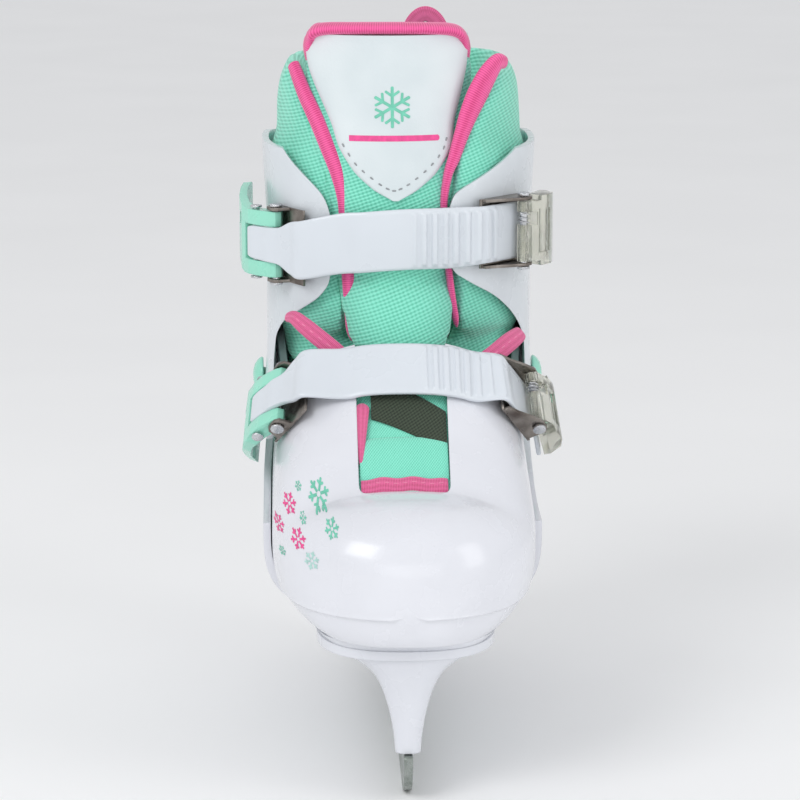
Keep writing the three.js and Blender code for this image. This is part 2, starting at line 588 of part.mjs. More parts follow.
function buckles() {
  const sets = [['upper', UPPER_LEVER, UPPER_RECEIVER], ['lower', LOWER_LEVER, LOWER_RECEIVER]];
  for (const [name, L, R] of sets) {
    add(`${name}_lever_base`, placed(L, leverBase()), steel);
    add(`${name}_lever_rivet`, placed(L, leverRivet()), bright);
    add(`${name}_lever_pin`, placed(L, leverPin()), steel);
    add(`${name}_lever`, placed(L, cuffLever()), mintPlastic);
    add(`${name}_strap_pin`, placed(L, strapPin()), bright);
    add(`${name}_receiver`, placed(R, receiverBase()), steel);
    add(`${name}_receiver_rivet`, placed(R, receiverRivet()), bright);
    add(`${name}_release_pin`, placed(R, releasePin()), bright);
    add(`${name}_release`, placed(R, clearRelease()), clearPlastic);
    add(`${name}_release_spring`, placed(R, releaseSpring()), bright);
  }
  add('upper_strap', upperStrap(), whitePlastic);
  add('lower_strap', lowerStrap(), whitePlastic);
}
const rivetHoles = (L, R) => [
  placed(L, rod([-10.5, 0, -30], [-10.5, 0, 6], 1.95)),
  placed(L, rod([-10.5, 0, -30], [-10.5, 0, PLATE_N - 3.4], 3.6)),
  placed(R, rod([-6, 0, -30], [-6, 0, 6], 1.95)),
  placed(R, rod([-6, 0, -30], [-6, 0, PLATE_N - 3.4], 3.6)),
];

// ---- blade holder and blade ----
// Half width of the holder at a height: wide sole plate, waisted tower, narrow rail.
function holderRing(z, half, y0, y1) {
  const r = Math.min(half, (y1 - y0) / 2) * 0.98;
  const ring = [];
  for (let i = 0; i < 18; i++) {
    const t = (2 * Math.PI * i) / 18 + Math.PI / 18;
    const c = Math.cos(t);
    const s = Math.sin(t);
    ring.push([half * spow(c, 0.7), (y0 + y1) / 2 + Math.sign(s) * ((y1 - y0) / 2 - r) + r * spow(s, 0.8), z]);
  }
  return ring;
}
function tower(yTop0, yTop1, yLow0, yLow1, width) {
  const rows = [[HOLDER_BOTTOM, 4.7, yLow0, yLow1], [27, 5.4, yLow0, yLow1], [34, 7, yLow0 + 1, yLow1 - 1],
    [42, 9.4, lerp(yLow0, yTop0, 0.3), lerp(yLow1, yTop1, 0.3)], [48, 13, lerp(yLow0, yTop0, 0.6), lerp(yLow1, yTop1, 0.6)],
    [52.5, width * 0.58, lerp(yLow0, yTop0, 0.82), lerp(yLow1, yTop1, 0.82)], [56, width * 0.85, yTop0 + 2, yTop1 - 2],
    [58.6, width, yTop0, yTop1]];
  return solid(loft(rows.map(([z, h, a, b]) => holderRing(z, h, a, b))));
}
function solePlate() {
  const outline = [];
  for (let i = 0; i <= 10; i++) {
    const a = Math.PI + (i / 10) * Math.PI;
    outline.push([34 * spow(Math.cos(a), 0.8), -88 + 35.5 * spow(Math.sin(a), 0.85)]);
  }
  outline.push([33, -60], [24, -20], [20, 10], [24, 50]);
  for (let i = 0; i <= 8; i++) {
    const a = (i / 8) * Math.PI;
    outline.push([25 * spow(Math.cos(a), 0.9), 68 + 27 * Math.sin(a)]);
  }
  outline.push([-24, 50], [-20, 10], [-24, -20], [-33, -60]);
  const low = slab(outline, 'xy', 55.5, SOLE_Z - 3);
  const pad = slab(outline, 'xy', 58, SOLE_Z).intersect(box([-50, -140, 50], [50, -60.6, 70]));
  return low.add(pad);
}
function bladeProfile(grow, low) {
  const front = [];
  for (let i = 0; i <= 8; i++) {
    const a = (i / 8) * (Math.PI / 2);
    front.push([-98 - 22 * Math.sin(a) - grow, low + 21 * (1 - Math.cos(a))]);
  }
  const back = [];
  for (let i = 0; i <= 4; i++) {
    const a = (i / 4) * (Math.PI / 2);
    back.push([BLADE_REAR + 8 * Math.sin(a) + grow, low + 12 * (1 - Math.cos(a))]);
  }
  return { front, back };
}
const BLADE_REAR = 93;
const BLADE_RIVETS = [-78, 62];
function blade() {
  const { front, back } = bladeProfile(0, 0);
  const outline = [...front.reverse(), ...back, [100.5, HOLDER_BOTTOM - 0.4], [88, HOLDER_BOTTOM - 0.4],
    [88, 28], [-106, 28], [-106, HOLDER_BOTTOM - 0.4], [-119, HOLDER_BOTTOM - 0.4]];
  const clean = outline.filter(([y, z], i) => i === 0 || Math.hypot(y - outline[i - 1][0], z - outline[i - 1][1]) > 0.3);
  let s = slab(clean.filter(([, z]) => z <= 28.01), 'yz', -BLADE_THICK / 2, BLADE_THICK / 2);
  for (const y of BLADE_RIVETS) s = s.subtract(rod([-20, y, 24], [20, y, 24], 2.1));
  return s;
}
function bladeHolder() {
  let s = tower(-118, -44, -117, -52, 31).add(tower(24, 94, 29, 97, 23));
  s = s.add(box([-4.7, -60, HOLDER_BOTTOM], [4.7, 40, 31])).add(solePlate());
  s = s.subtract(box([-BLADE_THICK / 2 - 0.3, -106.4, 0], [BLADE_THICK / 2 + 0.3, 88.4, 28.4]));
  for (const y of BLADE_RIVETS) {
    s = s.subtract(rod([-30, y, 24], [30, y, 24], 2.1));
    for (const side of [-1, 1]) s = s.subtract(rod([side * 4.2, y, 24], [side * 30, y, 24], 3.4));
  }
  for (const [x, y] of SOLE_SCREWS) {
    s = s.subtract(rod([x, y, 30], [x, y, 80], 2.3)).subtract(rod([x, y, 5], [x, y, 54.5], 4.2));
  }
  return s.subtract(rod([0, -30, 30], [0, -30, 80], 4.3, 20));
}
const bladeRivet = (y) => turned([[0, -5.6], [3, -5.6], [3, -4.5], [1.8, -4.5], [1.8, 4.5], [3, 4.5], [3, 5.6], [0, 5.6]],
  [0, y, 24], [1, 0, 0]);
const soleScrew = ([x, y]) => turned([[0, 51.2], [3.8, 51.2], [3.8, 54.1], [2, 54.3], [2, 62.9], [3.6, 63.2], [3.6, 64.6],
  [0, 64.8]], [x, y, 0], [0, 0, 1]);

// Size lock under the arch: a knob below, a clamp plate inside, one spindle through the toe shell's slot.
const sizeKnob = () => turned([[0, 46], [9, 46], [10, 47], [10, 53], [9, 54.6], [3.9, 54.9], [3.9, 65.1], [0, 65.1]],
  [0, -30, 0], [0, 0, 1], 24);
const lockPlate = () => turned([[0, 65.4], [9, 65.4], [9, 67.4], [0, 67.4]], [0, -30, 0], [0, 0, 1], 20);

// ---- cuff pivot rivets ----
function cuffRivet(side) {
  const x = CUFF_CENTRE[0] + side * (CUFF_HALF[0] + cuffFlare(PIVOT_Z) + 0.2);
  return turned([[0, -8.9], [5.5, -8.9], [5.5, -7.8], [3.1, -7.8], [3.1, 0.4], [7, 0.5], [7, 1.6], [5.6, 3.2], [3, 4.2],
    [0, 4.6]], [x, PIVOT_Y, PIVOT_Z], [side, 0, 0], 18);
}

// ---- soft goods ----
function footbed() {
  return heelBody(SHELL_WALL + LINER + 0.9, 20).intersect(box([-50, -6, 70], [50, 80, 74]));
}
const LINER = 9;
function linerHeel() {
  const outer = heelBody(SHELL_WALL + 1.3, 20).subtract(below(65.5)).subtract(above(136));
  const inner = heelBody(SHELL_WALL + LINER, 20).subtract(below(69.6));
  const hole = rod([-90, PIVOT_Y, PIVOT_Z], [90, PIVOT_Y, PIVOT_Z], 7, 20);
  const instep = box([-26, -20, 108], [26, 24, 200]);
  return outer.subtract(inner).subtract(box([-90, -90, 40], [90, -7, 200])).subtract(hole)
    .subtract(instep).subtract(box([-90, -90, 110.9], [90, -5, 200]));
}
function linerToe() {
  const outer = toeSkin(SHELL_WALL + 1.3, 0, 20).subtract(below(65.5));
  const inner = toeSkin(SHELL_WALL + 7.5, 8, 20).subtract(below(69.6));
  return outer.subtract(inner).subtract(box([-90, -21, 40], [90, 60, 300]))
    .subtract(slab([[-66, 300], [-66, 131], [-40, 150], [-10, 128], [20, 128], [20, 300]], 'yz', -90, 90))
    .subtract(placed(LOWER_LEVER, rod([-10.5, 0, -20], [-10.5, 0, 6], 4)))
    .subtract(placed(LOWER_RECEIVER, rod([-6, 0, -20], [-6, 0, 6], 4)))
    .subtract(rod([0, -30, 40], [0, -30, 80], 11, 16)).subtract(box([-11, -60, 60], [11, -10, 72]));
}
// Edge of the liner's front opening on one side, from the collar down, as [x, z].
const OPENING_LEFT = [[-37, 262], [-36.5, 228], [-30.5, 192], [-29, 160], [-29, 140]];
const OPENING_RIGHT = [[31.5, 262], [31, 228], [27.5, 192], [28, 160], [28, 140]];
function ankleSkin(inset) {
  return solid(loft([138, 152, 159, 190, 220, 248, 259].map((z) => {
    const round = z > 250 ? 3 : 0;
    const nest = z < 155 ? SHELL_WALL + 1.6 : 0;
    const grow = CUFF_WALL + 0.5 + nest + inset + (inset > 4 ? -round : round);
    return ovalRing(z, CUFF_HALF[0] - grow - (z > 225 ? 3 : 0), CUFF_HALF[1] - grow - (nest ? 5.8 : 0), CUFF_CENTRE, CUFF_POWER);
  })));
}
const collarTopCut = () => slab([[-60, 300], [-60, 247], [10, 250], [40, 262], [120, 254], [120, 300]], 'yz', -90, 90);
function linerCuff() {
  const opening = slab([...OPENING_LEFT.map(([x, z]) => [x - 3.4, z]), ...[...OPENING_RIGHT].reverse()
    .map(([x, z]) => [x + 3.4, z])], 'xz', -60, 20);
  const lowFront = slab([[-60, 60], [-60, 172], [-14, 158], [-8, 138], [34, 137], [34, 60]], 'yz', -90, 90);
  return ankleSkin(0).subtract(ankleSkin(LINER + 2)).subtract(opening).subtract(collarTopCut()).subtract(lowFront)
    .subtract(placed(UPPER_LEVER, rod([-10.5, 0, -20], [-10.5, 0, 6], 4)))
    .subtract(placed(UPPER_RECEIVER, rod([-6, 0, -20], [-6, 0, 6], 4)));
}
// Tongue: a padded slab, bowed across, running from the toes up in front of the shin.
const TONGUE_LINE = [[-56, 128, 15], [-42, 146, 18], [-29, 160, 22], [-21, 172, 24], [-20.5, 200, 27], [-17, 225, 31],
  [-13, 248, 32.5], [-11, 262, 32], [-10, 268, 30]];
function tongueAt(z) {
  const L = TONGUE_LINE;
  let i = 0;
  while (i < L.length - 2 && L[i + 1][1] < z) i++;
  const t = (z - L[i][1]) / (L[i + 1][1] - L[i][1]);
  const lean = -3.5 * smooth((z - 150) / 100);
  return { y: lerp(L[i][0], L[i + 1][0], t), half: lerp(L[i][2], L[i + 1][2], t), x: lean };
}
function tongueRing(z, halfScale, front, back, edge = 1.5) {
  const c = tongueAt(z);
  const ring = [];
  const bow = (u) => 9 * u * u * halfScale * halfScale;
  for (let i = 0; i <= 8; i++) {
    const u = lerp(-1, 1, i / 8);
    ring.push([c.x + u * c.half * halfScale, c.y - front + bow(u) + edge * Math.pow(Math.abs(u), 6), z]);
  }
  for (let i = 8; i >= 0; i--) {
    const u = lerp(-1, 1, i / 8);
    ring.push([c.x + u * c.half * halfScale, c.y + back + bow(u) - edge * Math.pow(Math.abs(u), 6), z]);
  }
  return ring;
}
function tongue() {
  return solid(loft([154, 163, 176, 190, 205, 225, 248, 258, 262.5].map((z) =>
    tongueRing(z, z > 260 ? 0.95 : 1, 0, 10))));
}
function tongueLower() {
  return solid(loft([[120, 13], [132, 15.5], [142, 17], [151, 17.5]].map(([z]) => tongueRing(z, 0.82, -3, 10))));
}
function tonguePatch() {
  const rings = [[208, 0.18], [214, 0.42], [222, 0.68], [232, 0.86], [248, 0.93], [261, 0.93]].map(([z, k]) =>
    tongueRing(z, k, 1.8, -0.4, 0));
  return solid(loft(rings));
}
function tonguePiping() {
  const g = [];
  for (let i = 0; i <= 20; i++) {
    const u = lerp(-1, 1, i / 20);
    const half = 33.2;
    const z = 268.6 - 4 * Math.pow(Math.abs(u), 4);
    g.push({ p: [-3.5 + u * half, -10 + 9 * u * u * 0.95, z], k: u });
  }
  return solid(loft(g.map(({ p, k }) => {
    const ring = [];
    const tilt = k * k * k * 1.1;
    for (let j = 0; j < 8; j++) {
      const a = (j / 8) * Math.PI * 2;
      const r = 2.3 * Math.sin(a);
      ring.push([p[0] + r * Math.sin(tilt), p[1] + 3.4 + 6 * Math.cos(a), p[2] + r * Math.cos(tilt) + 0.4]);
    }
    return ring;
  })));
}
function collarBinding(side) {
  const edge = side < 0 ? OPENING_LEFT : OPENING_RIGHT;
  const strip = [...edge.map(([x, z]) => [x, z]), ...[...edge].reverse().map(([x, z]) => [x + side * 3, z])];
  return ankleSkin(0).subtract(ankleSkin(5)).intersect(slab(strip, 'xz', -60, 12)).subtract(above(247)).subtract(below(160));
}
function vampStrip(side) {
  const path = [[27, 152, -31], [33, 154.5, -26], [40, 159, -17.5]];
  return solid(loft(path.map(([x, z, y]) => {
    const cx = side * x;
    return [[cx - 1.5, y - 2.5, z - 2.5], [cx + 1.5, y - 2.5, z - 2.5], [cx + 1.5, y + 1.5, z + 2.5], [cx - 1.5, y + 1.5, z + 2.5]];
  })));
}
function windowStrip(y0, y1, half, lowInset) {
  const rows = [];
  for (let i = 0; i <= 3; i++) {
    const y = lerp(y0, y1, i / 3);
    const ring = [];
    for (const [dz, dir] of [[0, 1], [1.2, -1]]) {
      for (let k = 0; k <= 6; k++) {
        const x = lerp(-half, half, k / 6) * dir;
        const z = toeMid(y) + (toeTop(y) - toeMid(y) - lowInset)
          * Math.pow(1 - Math.pow(Math.abs(x / (toeHalfWidth(y) - lowInset)), UPPER_POWER), 1 / UPPER_POWER);
        ring.push([x, y, z + dz]);
      }
    }
    rows.push(ring);
  }
  return solid(loft(rows));
}
function pullLoop() {
  const ring = [];
  const path = [];
  for (let i = 0; i <= 12; i++) {
    const a = Math.PI * (i / 12);
    path.push([100.8, 250 + 17.5 * Math.sin(a), 12 + 9 * Math.cos(a)]);
  }
  for (const [y, z, x] of path) {
    const c = [12, y, 250];
    const d = [x - c[0], z - c[2]];
    const len = Math.hypot(...d) || 1;
    const ux = d[0] / len;
    const uz = d[1] / len;
    const p = (s, dy) => [x + ux * s, y + dy, z + uz * s];
    ring.push([p(-0.8, -5), p(0.8, -5), p(0.8, 5), p(-0.8, 5)]);
  }
  return solid(loft(ring));
}

// ---- assemble ----
add('heel_shell', heelShell(), whitePlastic);
add('toe_shell', toeShell(rivetHoles(LOWER_LEVER, LOWER_RECEIVER)), whitePlastic);
add('cuff_shell', cuffShell(rivetHoles(UPPER_LEVER, UPPER_RECEIVER)), whitePlastic);
add('cuff_rivet_left', cuffRivet(-1), mintPlastic);
add('cuff_rivet_right', cuffRivet(1), mintPlastic);
add('blade_holder', bladeHolder(), whitePlastic);
add('blade', blade(), steel);
add('blade_rivet_front', bladeRivet(BLADE_RIVETS[0]), bright);
add('blade_rivet_rear', bladeRivet(BLADE_RIVETS[1]), bright);
SOLE_SCREWS.forEach((at, i) => add(`sole_screw_${i + 1}`, soleScrew(at), bright));
add('size_knob', sizeKnob(), mintPlastic);
add('size_lock_plate', lockPlate(), steel);
buckles();
add('footbed', footbed(), darkKnit);
add('liner_heel', linerHeel(), mintFabric);
add('liner_toe', linerToe(), mintFabric);
add('liner_cuff', linerCuff(), mintFabric);
add('tongue', tongue(), mintFabric);
add('tongue_lower', tongueLower(), mintFabric);
add('tongue_patch', tonguePatch(), whitePlastic);
add('tongue_piping', tonguePiping(), pinkFabric);
add('collar_binding_left', collarBinding(-1), pinkFabric);
add('collar_binding_right', collarBinding(1), pinkFabric);
add('vamp_binding_left', vampStrip(-1), pinkFabric);
add('vamp_binding_right', vampStrip(1), pinkFabric);
add('vamp_gusset', windowStrip(-72, -62, 14, 2), darkKnit);
add('vamp_hem', windowStrip(-93.5, -89, 14, 2), pinkFabric);
add('pull_loop', pullLoop(), pinkFabric);

export default group;
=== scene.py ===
# %% [markdown]
# # A child's buckle skate, dressed for its picture
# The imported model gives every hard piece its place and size. This script loads it as a fixed frame, and
# then gives each piece the surface that a person sees: rounded moulded shells, padded knit, ribbed pink
# tape, toothed straps and ground steel. All sizes are written in millimetres and turned to metres when a
# mesh is made.

# %% Load the frame and the tools
import json
import math
import bmesh
import bpy
from mathutils import Matrix, Vector

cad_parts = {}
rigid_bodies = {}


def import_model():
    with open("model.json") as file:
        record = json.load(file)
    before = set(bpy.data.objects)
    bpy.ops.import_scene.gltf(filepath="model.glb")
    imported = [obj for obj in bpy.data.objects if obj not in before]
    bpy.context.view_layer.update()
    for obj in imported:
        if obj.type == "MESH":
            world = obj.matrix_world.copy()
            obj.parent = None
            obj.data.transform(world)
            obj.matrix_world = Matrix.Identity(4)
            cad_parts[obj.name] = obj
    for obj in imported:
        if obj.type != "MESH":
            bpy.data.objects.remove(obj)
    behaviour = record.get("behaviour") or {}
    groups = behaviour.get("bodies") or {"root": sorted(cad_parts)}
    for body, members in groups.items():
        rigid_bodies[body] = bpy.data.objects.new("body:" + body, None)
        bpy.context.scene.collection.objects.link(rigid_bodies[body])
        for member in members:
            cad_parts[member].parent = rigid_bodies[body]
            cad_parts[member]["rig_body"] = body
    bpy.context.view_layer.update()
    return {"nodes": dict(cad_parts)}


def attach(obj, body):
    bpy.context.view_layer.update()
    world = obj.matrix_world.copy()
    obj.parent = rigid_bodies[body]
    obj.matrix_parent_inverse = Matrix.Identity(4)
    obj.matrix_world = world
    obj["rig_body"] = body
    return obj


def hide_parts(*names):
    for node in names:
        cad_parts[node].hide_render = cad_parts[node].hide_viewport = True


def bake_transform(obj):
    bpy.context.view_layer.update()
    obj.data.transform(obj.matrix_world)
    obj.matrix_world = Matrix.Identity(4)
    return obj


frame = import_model()

# %% Small sums that every piece uses
def lerp(a, b, t):
    return a + (b - a) * t

def clamp01(t):
    return min(1.0, max(0.0, t))

def smooth(t):
    t = clamp01(t)
    return t * t * (3 - 2 * t)

def spow(v, p):
    return math.copysign(abs(v) ** p, v)

def table_at(rows, x):
    """Reads the columns of a small table of rows [x, value, ...] at x, on a smooth curve through them."""
    rows = sorted(rows)
    x = min(max(x, rows[0][0]), rows[-1][0])
    i = max(k for k in range(len(rows) - 1) if rows[k][0] <= x or k == 0)
    a, b = rows[i], rows[i + 1]
    before = rows[i - 1] if i > 0 else a
    after = rows[i + 2] if i + 2 < len(rows) else b
    h = b[0] - a[0]
    t = (x - a[0]) / h
    out = []
    for k in range(1, len(a)):
        m0 = (b[k] - before[k]) / (b[0] - before[0]) * h
        m1 = (after[k] - a[k]) / (after[0] - a[0]) * h
        out.append((2 * t**3 - 3 * t**2 + 1) * a[k] + (t**3 - 2 * t**2 + t) * m0
                   + (3 * t**2 - 2 * t**3) * b[k] + (t**3 - t**2) * m1)
    return out

# %% [markdown]
# A moulded shell is easiest to describe as a row of rings, one behind the other, with a skin between
# them. Most pieces here are made that way. Holes and cut edges are then taken out with a second solid, as
# a cutter would.

# %% Turn rings into a closed skin
def make_piece(name, verts, faces, uvs=None):
    mesh = bpy.data.meshes.new(name)
    mesh.from_pydata([[c * 0.001 for c in v] for v in verts], [], faces)
    if uvs:
        layer = mesh.uv_layers.new(name="along")
        for loop, uv in zip(layer.data, [uv for face in uvs for uv in face]):
            loop.uv = uv
    work = bmesh.new()
    work.from_mesh(mesh)
    bmesh.ops.recalc_face_normals(work, faces=work.faces)
    work.to_mesh(mesh)
    work.free()
    obj = bpy.data.objects.new(name, mesh)
    bpy.context.scene.collection.objects.link(obj)
    return obj

def loft(name, rings):
    """Rings of equal length, in order. The UV's second number is the way along the piece, in centimetres."""
    n = len(rings[0])
    verts = [p for ring in rings for p in ring]
    faces, uvs, way = [], [], 0.0
    for r in range(len(rings) - 1):
        middle = [sum((Vector(q) for q in rings[k]), Vector()) / n for k in (r, r + 1)]
        step = (middle[1] - middle[0]).length / 10
        for i in range(n):
            j = (i + 1) % n
            faces.append((r * n + i, r * n + j, (r + 1) * n + j, (r + 1) * n + i))
            uvs.append([(i / n, way), ((i + 1) / n, way), ((i + 1) / n, way + step), (i / n, way + step)])
        way += step
    for first, start in ((0, 0.0), (len(rings) - 1, way)):
        centre = len(verts)
        verts.append(list(sum((Vector(q) for q in rings[first]), Vector()) / n))
        for i in range(n):
            faces.append((first * n + i, first * n + (i + 1) % n, centre))
            uvs.append([(i / n, start), ((i + 1) / n, start), (i / n, start)])
    return make_piece(name, verts, faces, uvs)

# %% Flat outlines, blocks, bars and turned pieces
def slab(name, outline, plane, low, high):
    """A flat outline pulled through one direction: plane "yz" goes along X, "xz" along Y, "xy" along Z."""
    place = {"yz": lambda u, v, d: (d, u, v), "xz": lambda u, v, d: (u, d, v), "xy": lambda u, v,
             d: (u, v, d)}
    n = len(outline)
    verts = [place[plane](u, v, d) for d in (low, high) for u, v in outline]
    faces = [tuple(range(n)), tuple(range(n, 2 * n))]
    faces += [(i, (i + 1) % n, n + (i + 1) % n, n + i) for i in range(n)]
    return make_piece(name, verts, faces)

def block(low, high):
    outline = [(low[0], low[1]), (high[0], low[1]), (high[0], high[1]), (low[0], high[1])]
    return slab("cutter", outline, "xy", low[2], high[2])

def axes(direction):
    d = Vector(direction).normalized()
    side = d.cross(Vector((0, 0, 1) if abs(d.z) < 0.9 else (1, 0, 0))).normalized()
    return d, side, d.cross(side)

def turned(name, profile, at, direction, sides=48):
    """A lathe piece: profile of (radius, height) from the axis back to it, standing at a point."""
    d, a, b = axes(direction)
    rings = []
    for radius, height in profile:
        centre = Vector(at) + d * height
        rings.append([list(centre + (a * math.cos(t) + b * math.sin(t)) * max(radius, 0.01))
                      for t in (2 * math.pi * i / sides for i in range(sides))])
    return loft(name, rings)

def bar(start, end, radius, sides=32):
    way = Vector(end) - Vector(start)
    return turned("cutter", [(radius, 0), (radius, way.length)], start, way, sides)

# %% Cut, round and finish
def settle(obj):
    """Turns a piece's modifiers into plain mesh."""
    graph = bpy.context.evaluated_depsgraph_get()
    mesh = bpy.data.meshes.new_from_object(obj.evaluated_get(graph), preserve_all_data_layers=True,
                                           depsgraph=graph)
    obj.modifiers.clear()
    obj.data = mesh
    return obj

def cut(obj, *cutters, how="DIFFERENCE"):
    for cutter in cutters:
        tool = obj.modifiers.new("cut", "BOOLEAN")
        tool.operation = how
        tool.solver = "EXACT"
        tool.object = cutter
        settle(obj)
        bpy.data.objects.remove(cutter)
    return obj

SHARP = 38  # degrees: an edge that turns more than this is a sharp one

def shade(obj, angle=SHARP):
    for face in obj.data.polygons:
        face.use_smooth = True
    obj.data.set_sharp_from_angle(angle=math.radians(angle))
    return obj

def soften(obj, width):
    """Rounds the sharp edges, as a mould leaves them."""
    work = bmesh.new()
    work.from_mesh(obj.data)
    bmesh.ops.remove_doubles(work, verts=work.verts, dist=0.00006)
    bmesh.ops.dissolve_degenerate(work, edges=work.edges, dist=0.00003)
    work.to_mesh(obj.data)
    work.free()
    edge = obj.modifiers.new("round", "BEVEL")
    edge.width = width * 0.001
    edge.segments = 3
    edge.limit_method = "ANGLE"
    edge.angle_limit = math.radians(SHARP)
    settle(obj)
    return shade(obj)

def dress(obj, material, body, slot, *stands_for):
    """Gives a piece its finish, the body it moves with, and the plain nodes it stands for. slot is not used.
    """
    obj.data.materials.clear()
    obj.data.materials.append(material)
    if body:
        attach(obj, body)
    if stands_for:
        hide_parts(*stands_for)
    print(obj.name, len(obj.data.polygons), "faces")
    return obj

# %% [markdown]
# ## The finishes
# The shells are glossy injection-moulded plastic: very even, with a faint flow of the plastic and a
# slight ripple that breaks up long highlights. The edges are softened in the shader as well as in the
# mesh. The knit is two crossed waves, one for the ribs and one for the loops. Steel gets fine scratches
# drawn out along one direction.

# %% Start a finish and add nodes to it
def start_finish(name, colour, rough, metal=0.0):
    material = bpy.data.materials.new(name)
    material.use_nodes = True
    shader = material.node_tree.nodes["Principled BSDF"]
    shader.inputs["Base Color"].default_value = (*colour, 1)
    shader.inputs["Roughness"].default_value = rough
    shader.inputs["Metallic"].default_value = metal
    return material, shader

def node(material, kind, inputs, **props):
    made = material.node_tree.nodes.new(kind)
    for key, value in props.items():
        setattr(made, key, value)
    for key, value in inputs.items():
        if isinstance(value, bpy.types.NodeSocket):
            material.node_tree.links.new(value, made.inputs[key])
        else:
            made.inputs[key].default_value = value
    return made

def own_place(material, stretch=(1, 1, 1), turn=(0, 0, 0), which="Object"):
    place = node(material, "ShaderNodeTexCoord", {})
    return node(material, "ShaderNodeMapping", {"Vector": place.outputs[which], "Scale": stretch,
                                                "Rotation": turn}).outputs["Vector"]

def noise(material, vector, scale, detail=2.0):
    return node(material, "ShaderNodeTexNoise", {"Vector": vector, "Scale": scale,
                                                 "Detail": detail}).outputs["Fac"]

def shades(material, fac, dark, light, low=0.3, high=0.7):
    ramp = node(material, "ShaderNodeValToRGB", {"Fac": fac})
    ramp.color_ramp.elements[0].position = low
    ramp.color_ramp.elements[0].color = (*dark, 1)
    ramp.color_ramp.elements[1].position = high
    ramp.color_ramp.elements[1].color = (*light, 1)
    return ramp.outputs["Color"]

def spread(material, fac, low, high):
    return node(material, "ShaderNodeMapRange", {"Value": fac, "From Min": 0.3, "From Max": 0.7,
                                                 "To Min": low,
                                                 "To Max": high}).outputs["Result"]

def calc(material, how, a, b):
    return node(material, "ShaderNodeMath", {0: a, 1: b}, operation=how).outputs["Value"]

def bump(material, shader, height, depth_mm, strength=1.0, edge_mm=0.0):
    inputs = {"Height": height, "Distance": depth_mm * 0.001, "Strength": strength}
    if edge_mm:
        inputs["Normal"] = node(material, "ShaderNodeBevel", {"Radius": edge_mm * 0.001},
                                samples=4).outputs["Normal"]
    made = node(material, "ShaderNodeBump", inputs)
    material.node_tree.links.new(made.outputs["Normal"], shader.inputs["Normal"])

def link(material, output, shader, name):
    material.node_tree.links.new(output, shader.inputs[name])

def bands(material, vector, pitch, direction="Z", wobble=0.0):
    """Even ribs, one every pitch, in the unit of the vector."""
    wave = node(material, "ShaderNodeTexWave", {"Vector": vector, "Scale": 0.31416 / pitch,
                                                "Distortion": wobble,
                                                "Detail": 1.0}, bands_direction=direction)
    return wave.outputs["Fac"]

# %% Moulded plastics
def moulded(name, colour, rough=0.24, edge=0.5, coat=0.35):
    m, shader = start_finish(name, colour, rough)
    place = own_place(m)
    flow = noise(m, place, 22, 3)
    link(m, shades(m, flow, [c * 0.95 for c in colour], [min(1, c * 1.03) for c in colour]), shader,
         "Base Color")
    link(m, spread(m, noise(m, place, 70, 4), rough - 0.05, rough + 0.07), shader, "Roughness")
    ripple = noise(m, place, 45, 2)
    grain = calc(m, "MULTIPLY", noise(m, place, 900, 3), 0.06)
    bump(m, shader, calc(m, "ADD", ripple, grain), 0.12, 0.5, edge)
    shader.inputs["Coat Weight"].default_value = coat
    shader.inputs["Coat Roughness"].default_value = 0.12
    shader.inputs["Subsurface Weight"].default_value = 0.06
    shader.inputs["Subsurface Radius"].default_value = (0.002, 0.002, 0.002)
    return m

SHELL_WHITE = moulded("shell white plastic", (0.735, 0.745, 0.79))
CUFF_WHITE = moulded("cuff white plastic", (0.66, 0.70, 0.735), 0.28)
STRAP_WHITE = moulded("strap white plastic", (0.66, 0.70, 0.745), 0.3, 0.25, 0.25)
HOLDER_WHITE = moulded("holder white plastic", (0.70, 0.715, 0.76), 0.26)
MINT_PLASTIC = moulded("mint lever plastic", (0.30, 0.72, 0.56), 0.26, 0.5)

# %% Smoky clear plastic of the release levers
def smoky(name):
    m, shader = start_finish(name, (0.80, 0.80, 0.70), 0.08)
    place = own_place(m)
    link(m, shades(m, noise(m, place, 160, 3), (0.74, 0.74, 0.64), (0.88, 0.88, 0.80)), shader,
         "Base Color")
    shader.inputs["Transmission Weight"].default_value = 0.9
    shader.inputs["IOR"].default_value = 1.49
    bump(m, shader, noise(m, place, 420, 2), 0.1, 0.4, 0.3)
    return m

SMOKY_CLEAR = smoky("smoky clear plastic")

# %% Steels
def steel(name, dark, light, rough, along=(1, 1, 1)):
    m, shader = start_finish(name, light, rough, 1.0)
    place = own_place(m, along)
    fine = noise(m, place, 900, 4)
    broad = noise(m, own_place(m), 120, 3)
    link(m, shades(m, broad, dark, light), shader, "Base Color")
    link(m, spread(m, fine, rough - 0.08, rough + 0.12), shader, "Roughness")
    bump(m, shader, fine, 0.05, 0.35, 0.25)
    return m

DARK_STEEL = steel("dark plated steel", (0.11, 0.09, 0.08), (0.34, 0.31, 0.28), 0.32, (1, 1, 0.15))
BRIGHT_STEEL = steel("bright plated steel", (0.42, 0.43, 0.45), (0.72, 0.73, 0.75), 0.22)
RUNNER_STEEL = steel("ground runner steel", (0.16, 0.19, 0.165), (0.42, 0.45, 0.43), 0.27, (1, 0.05, 1))

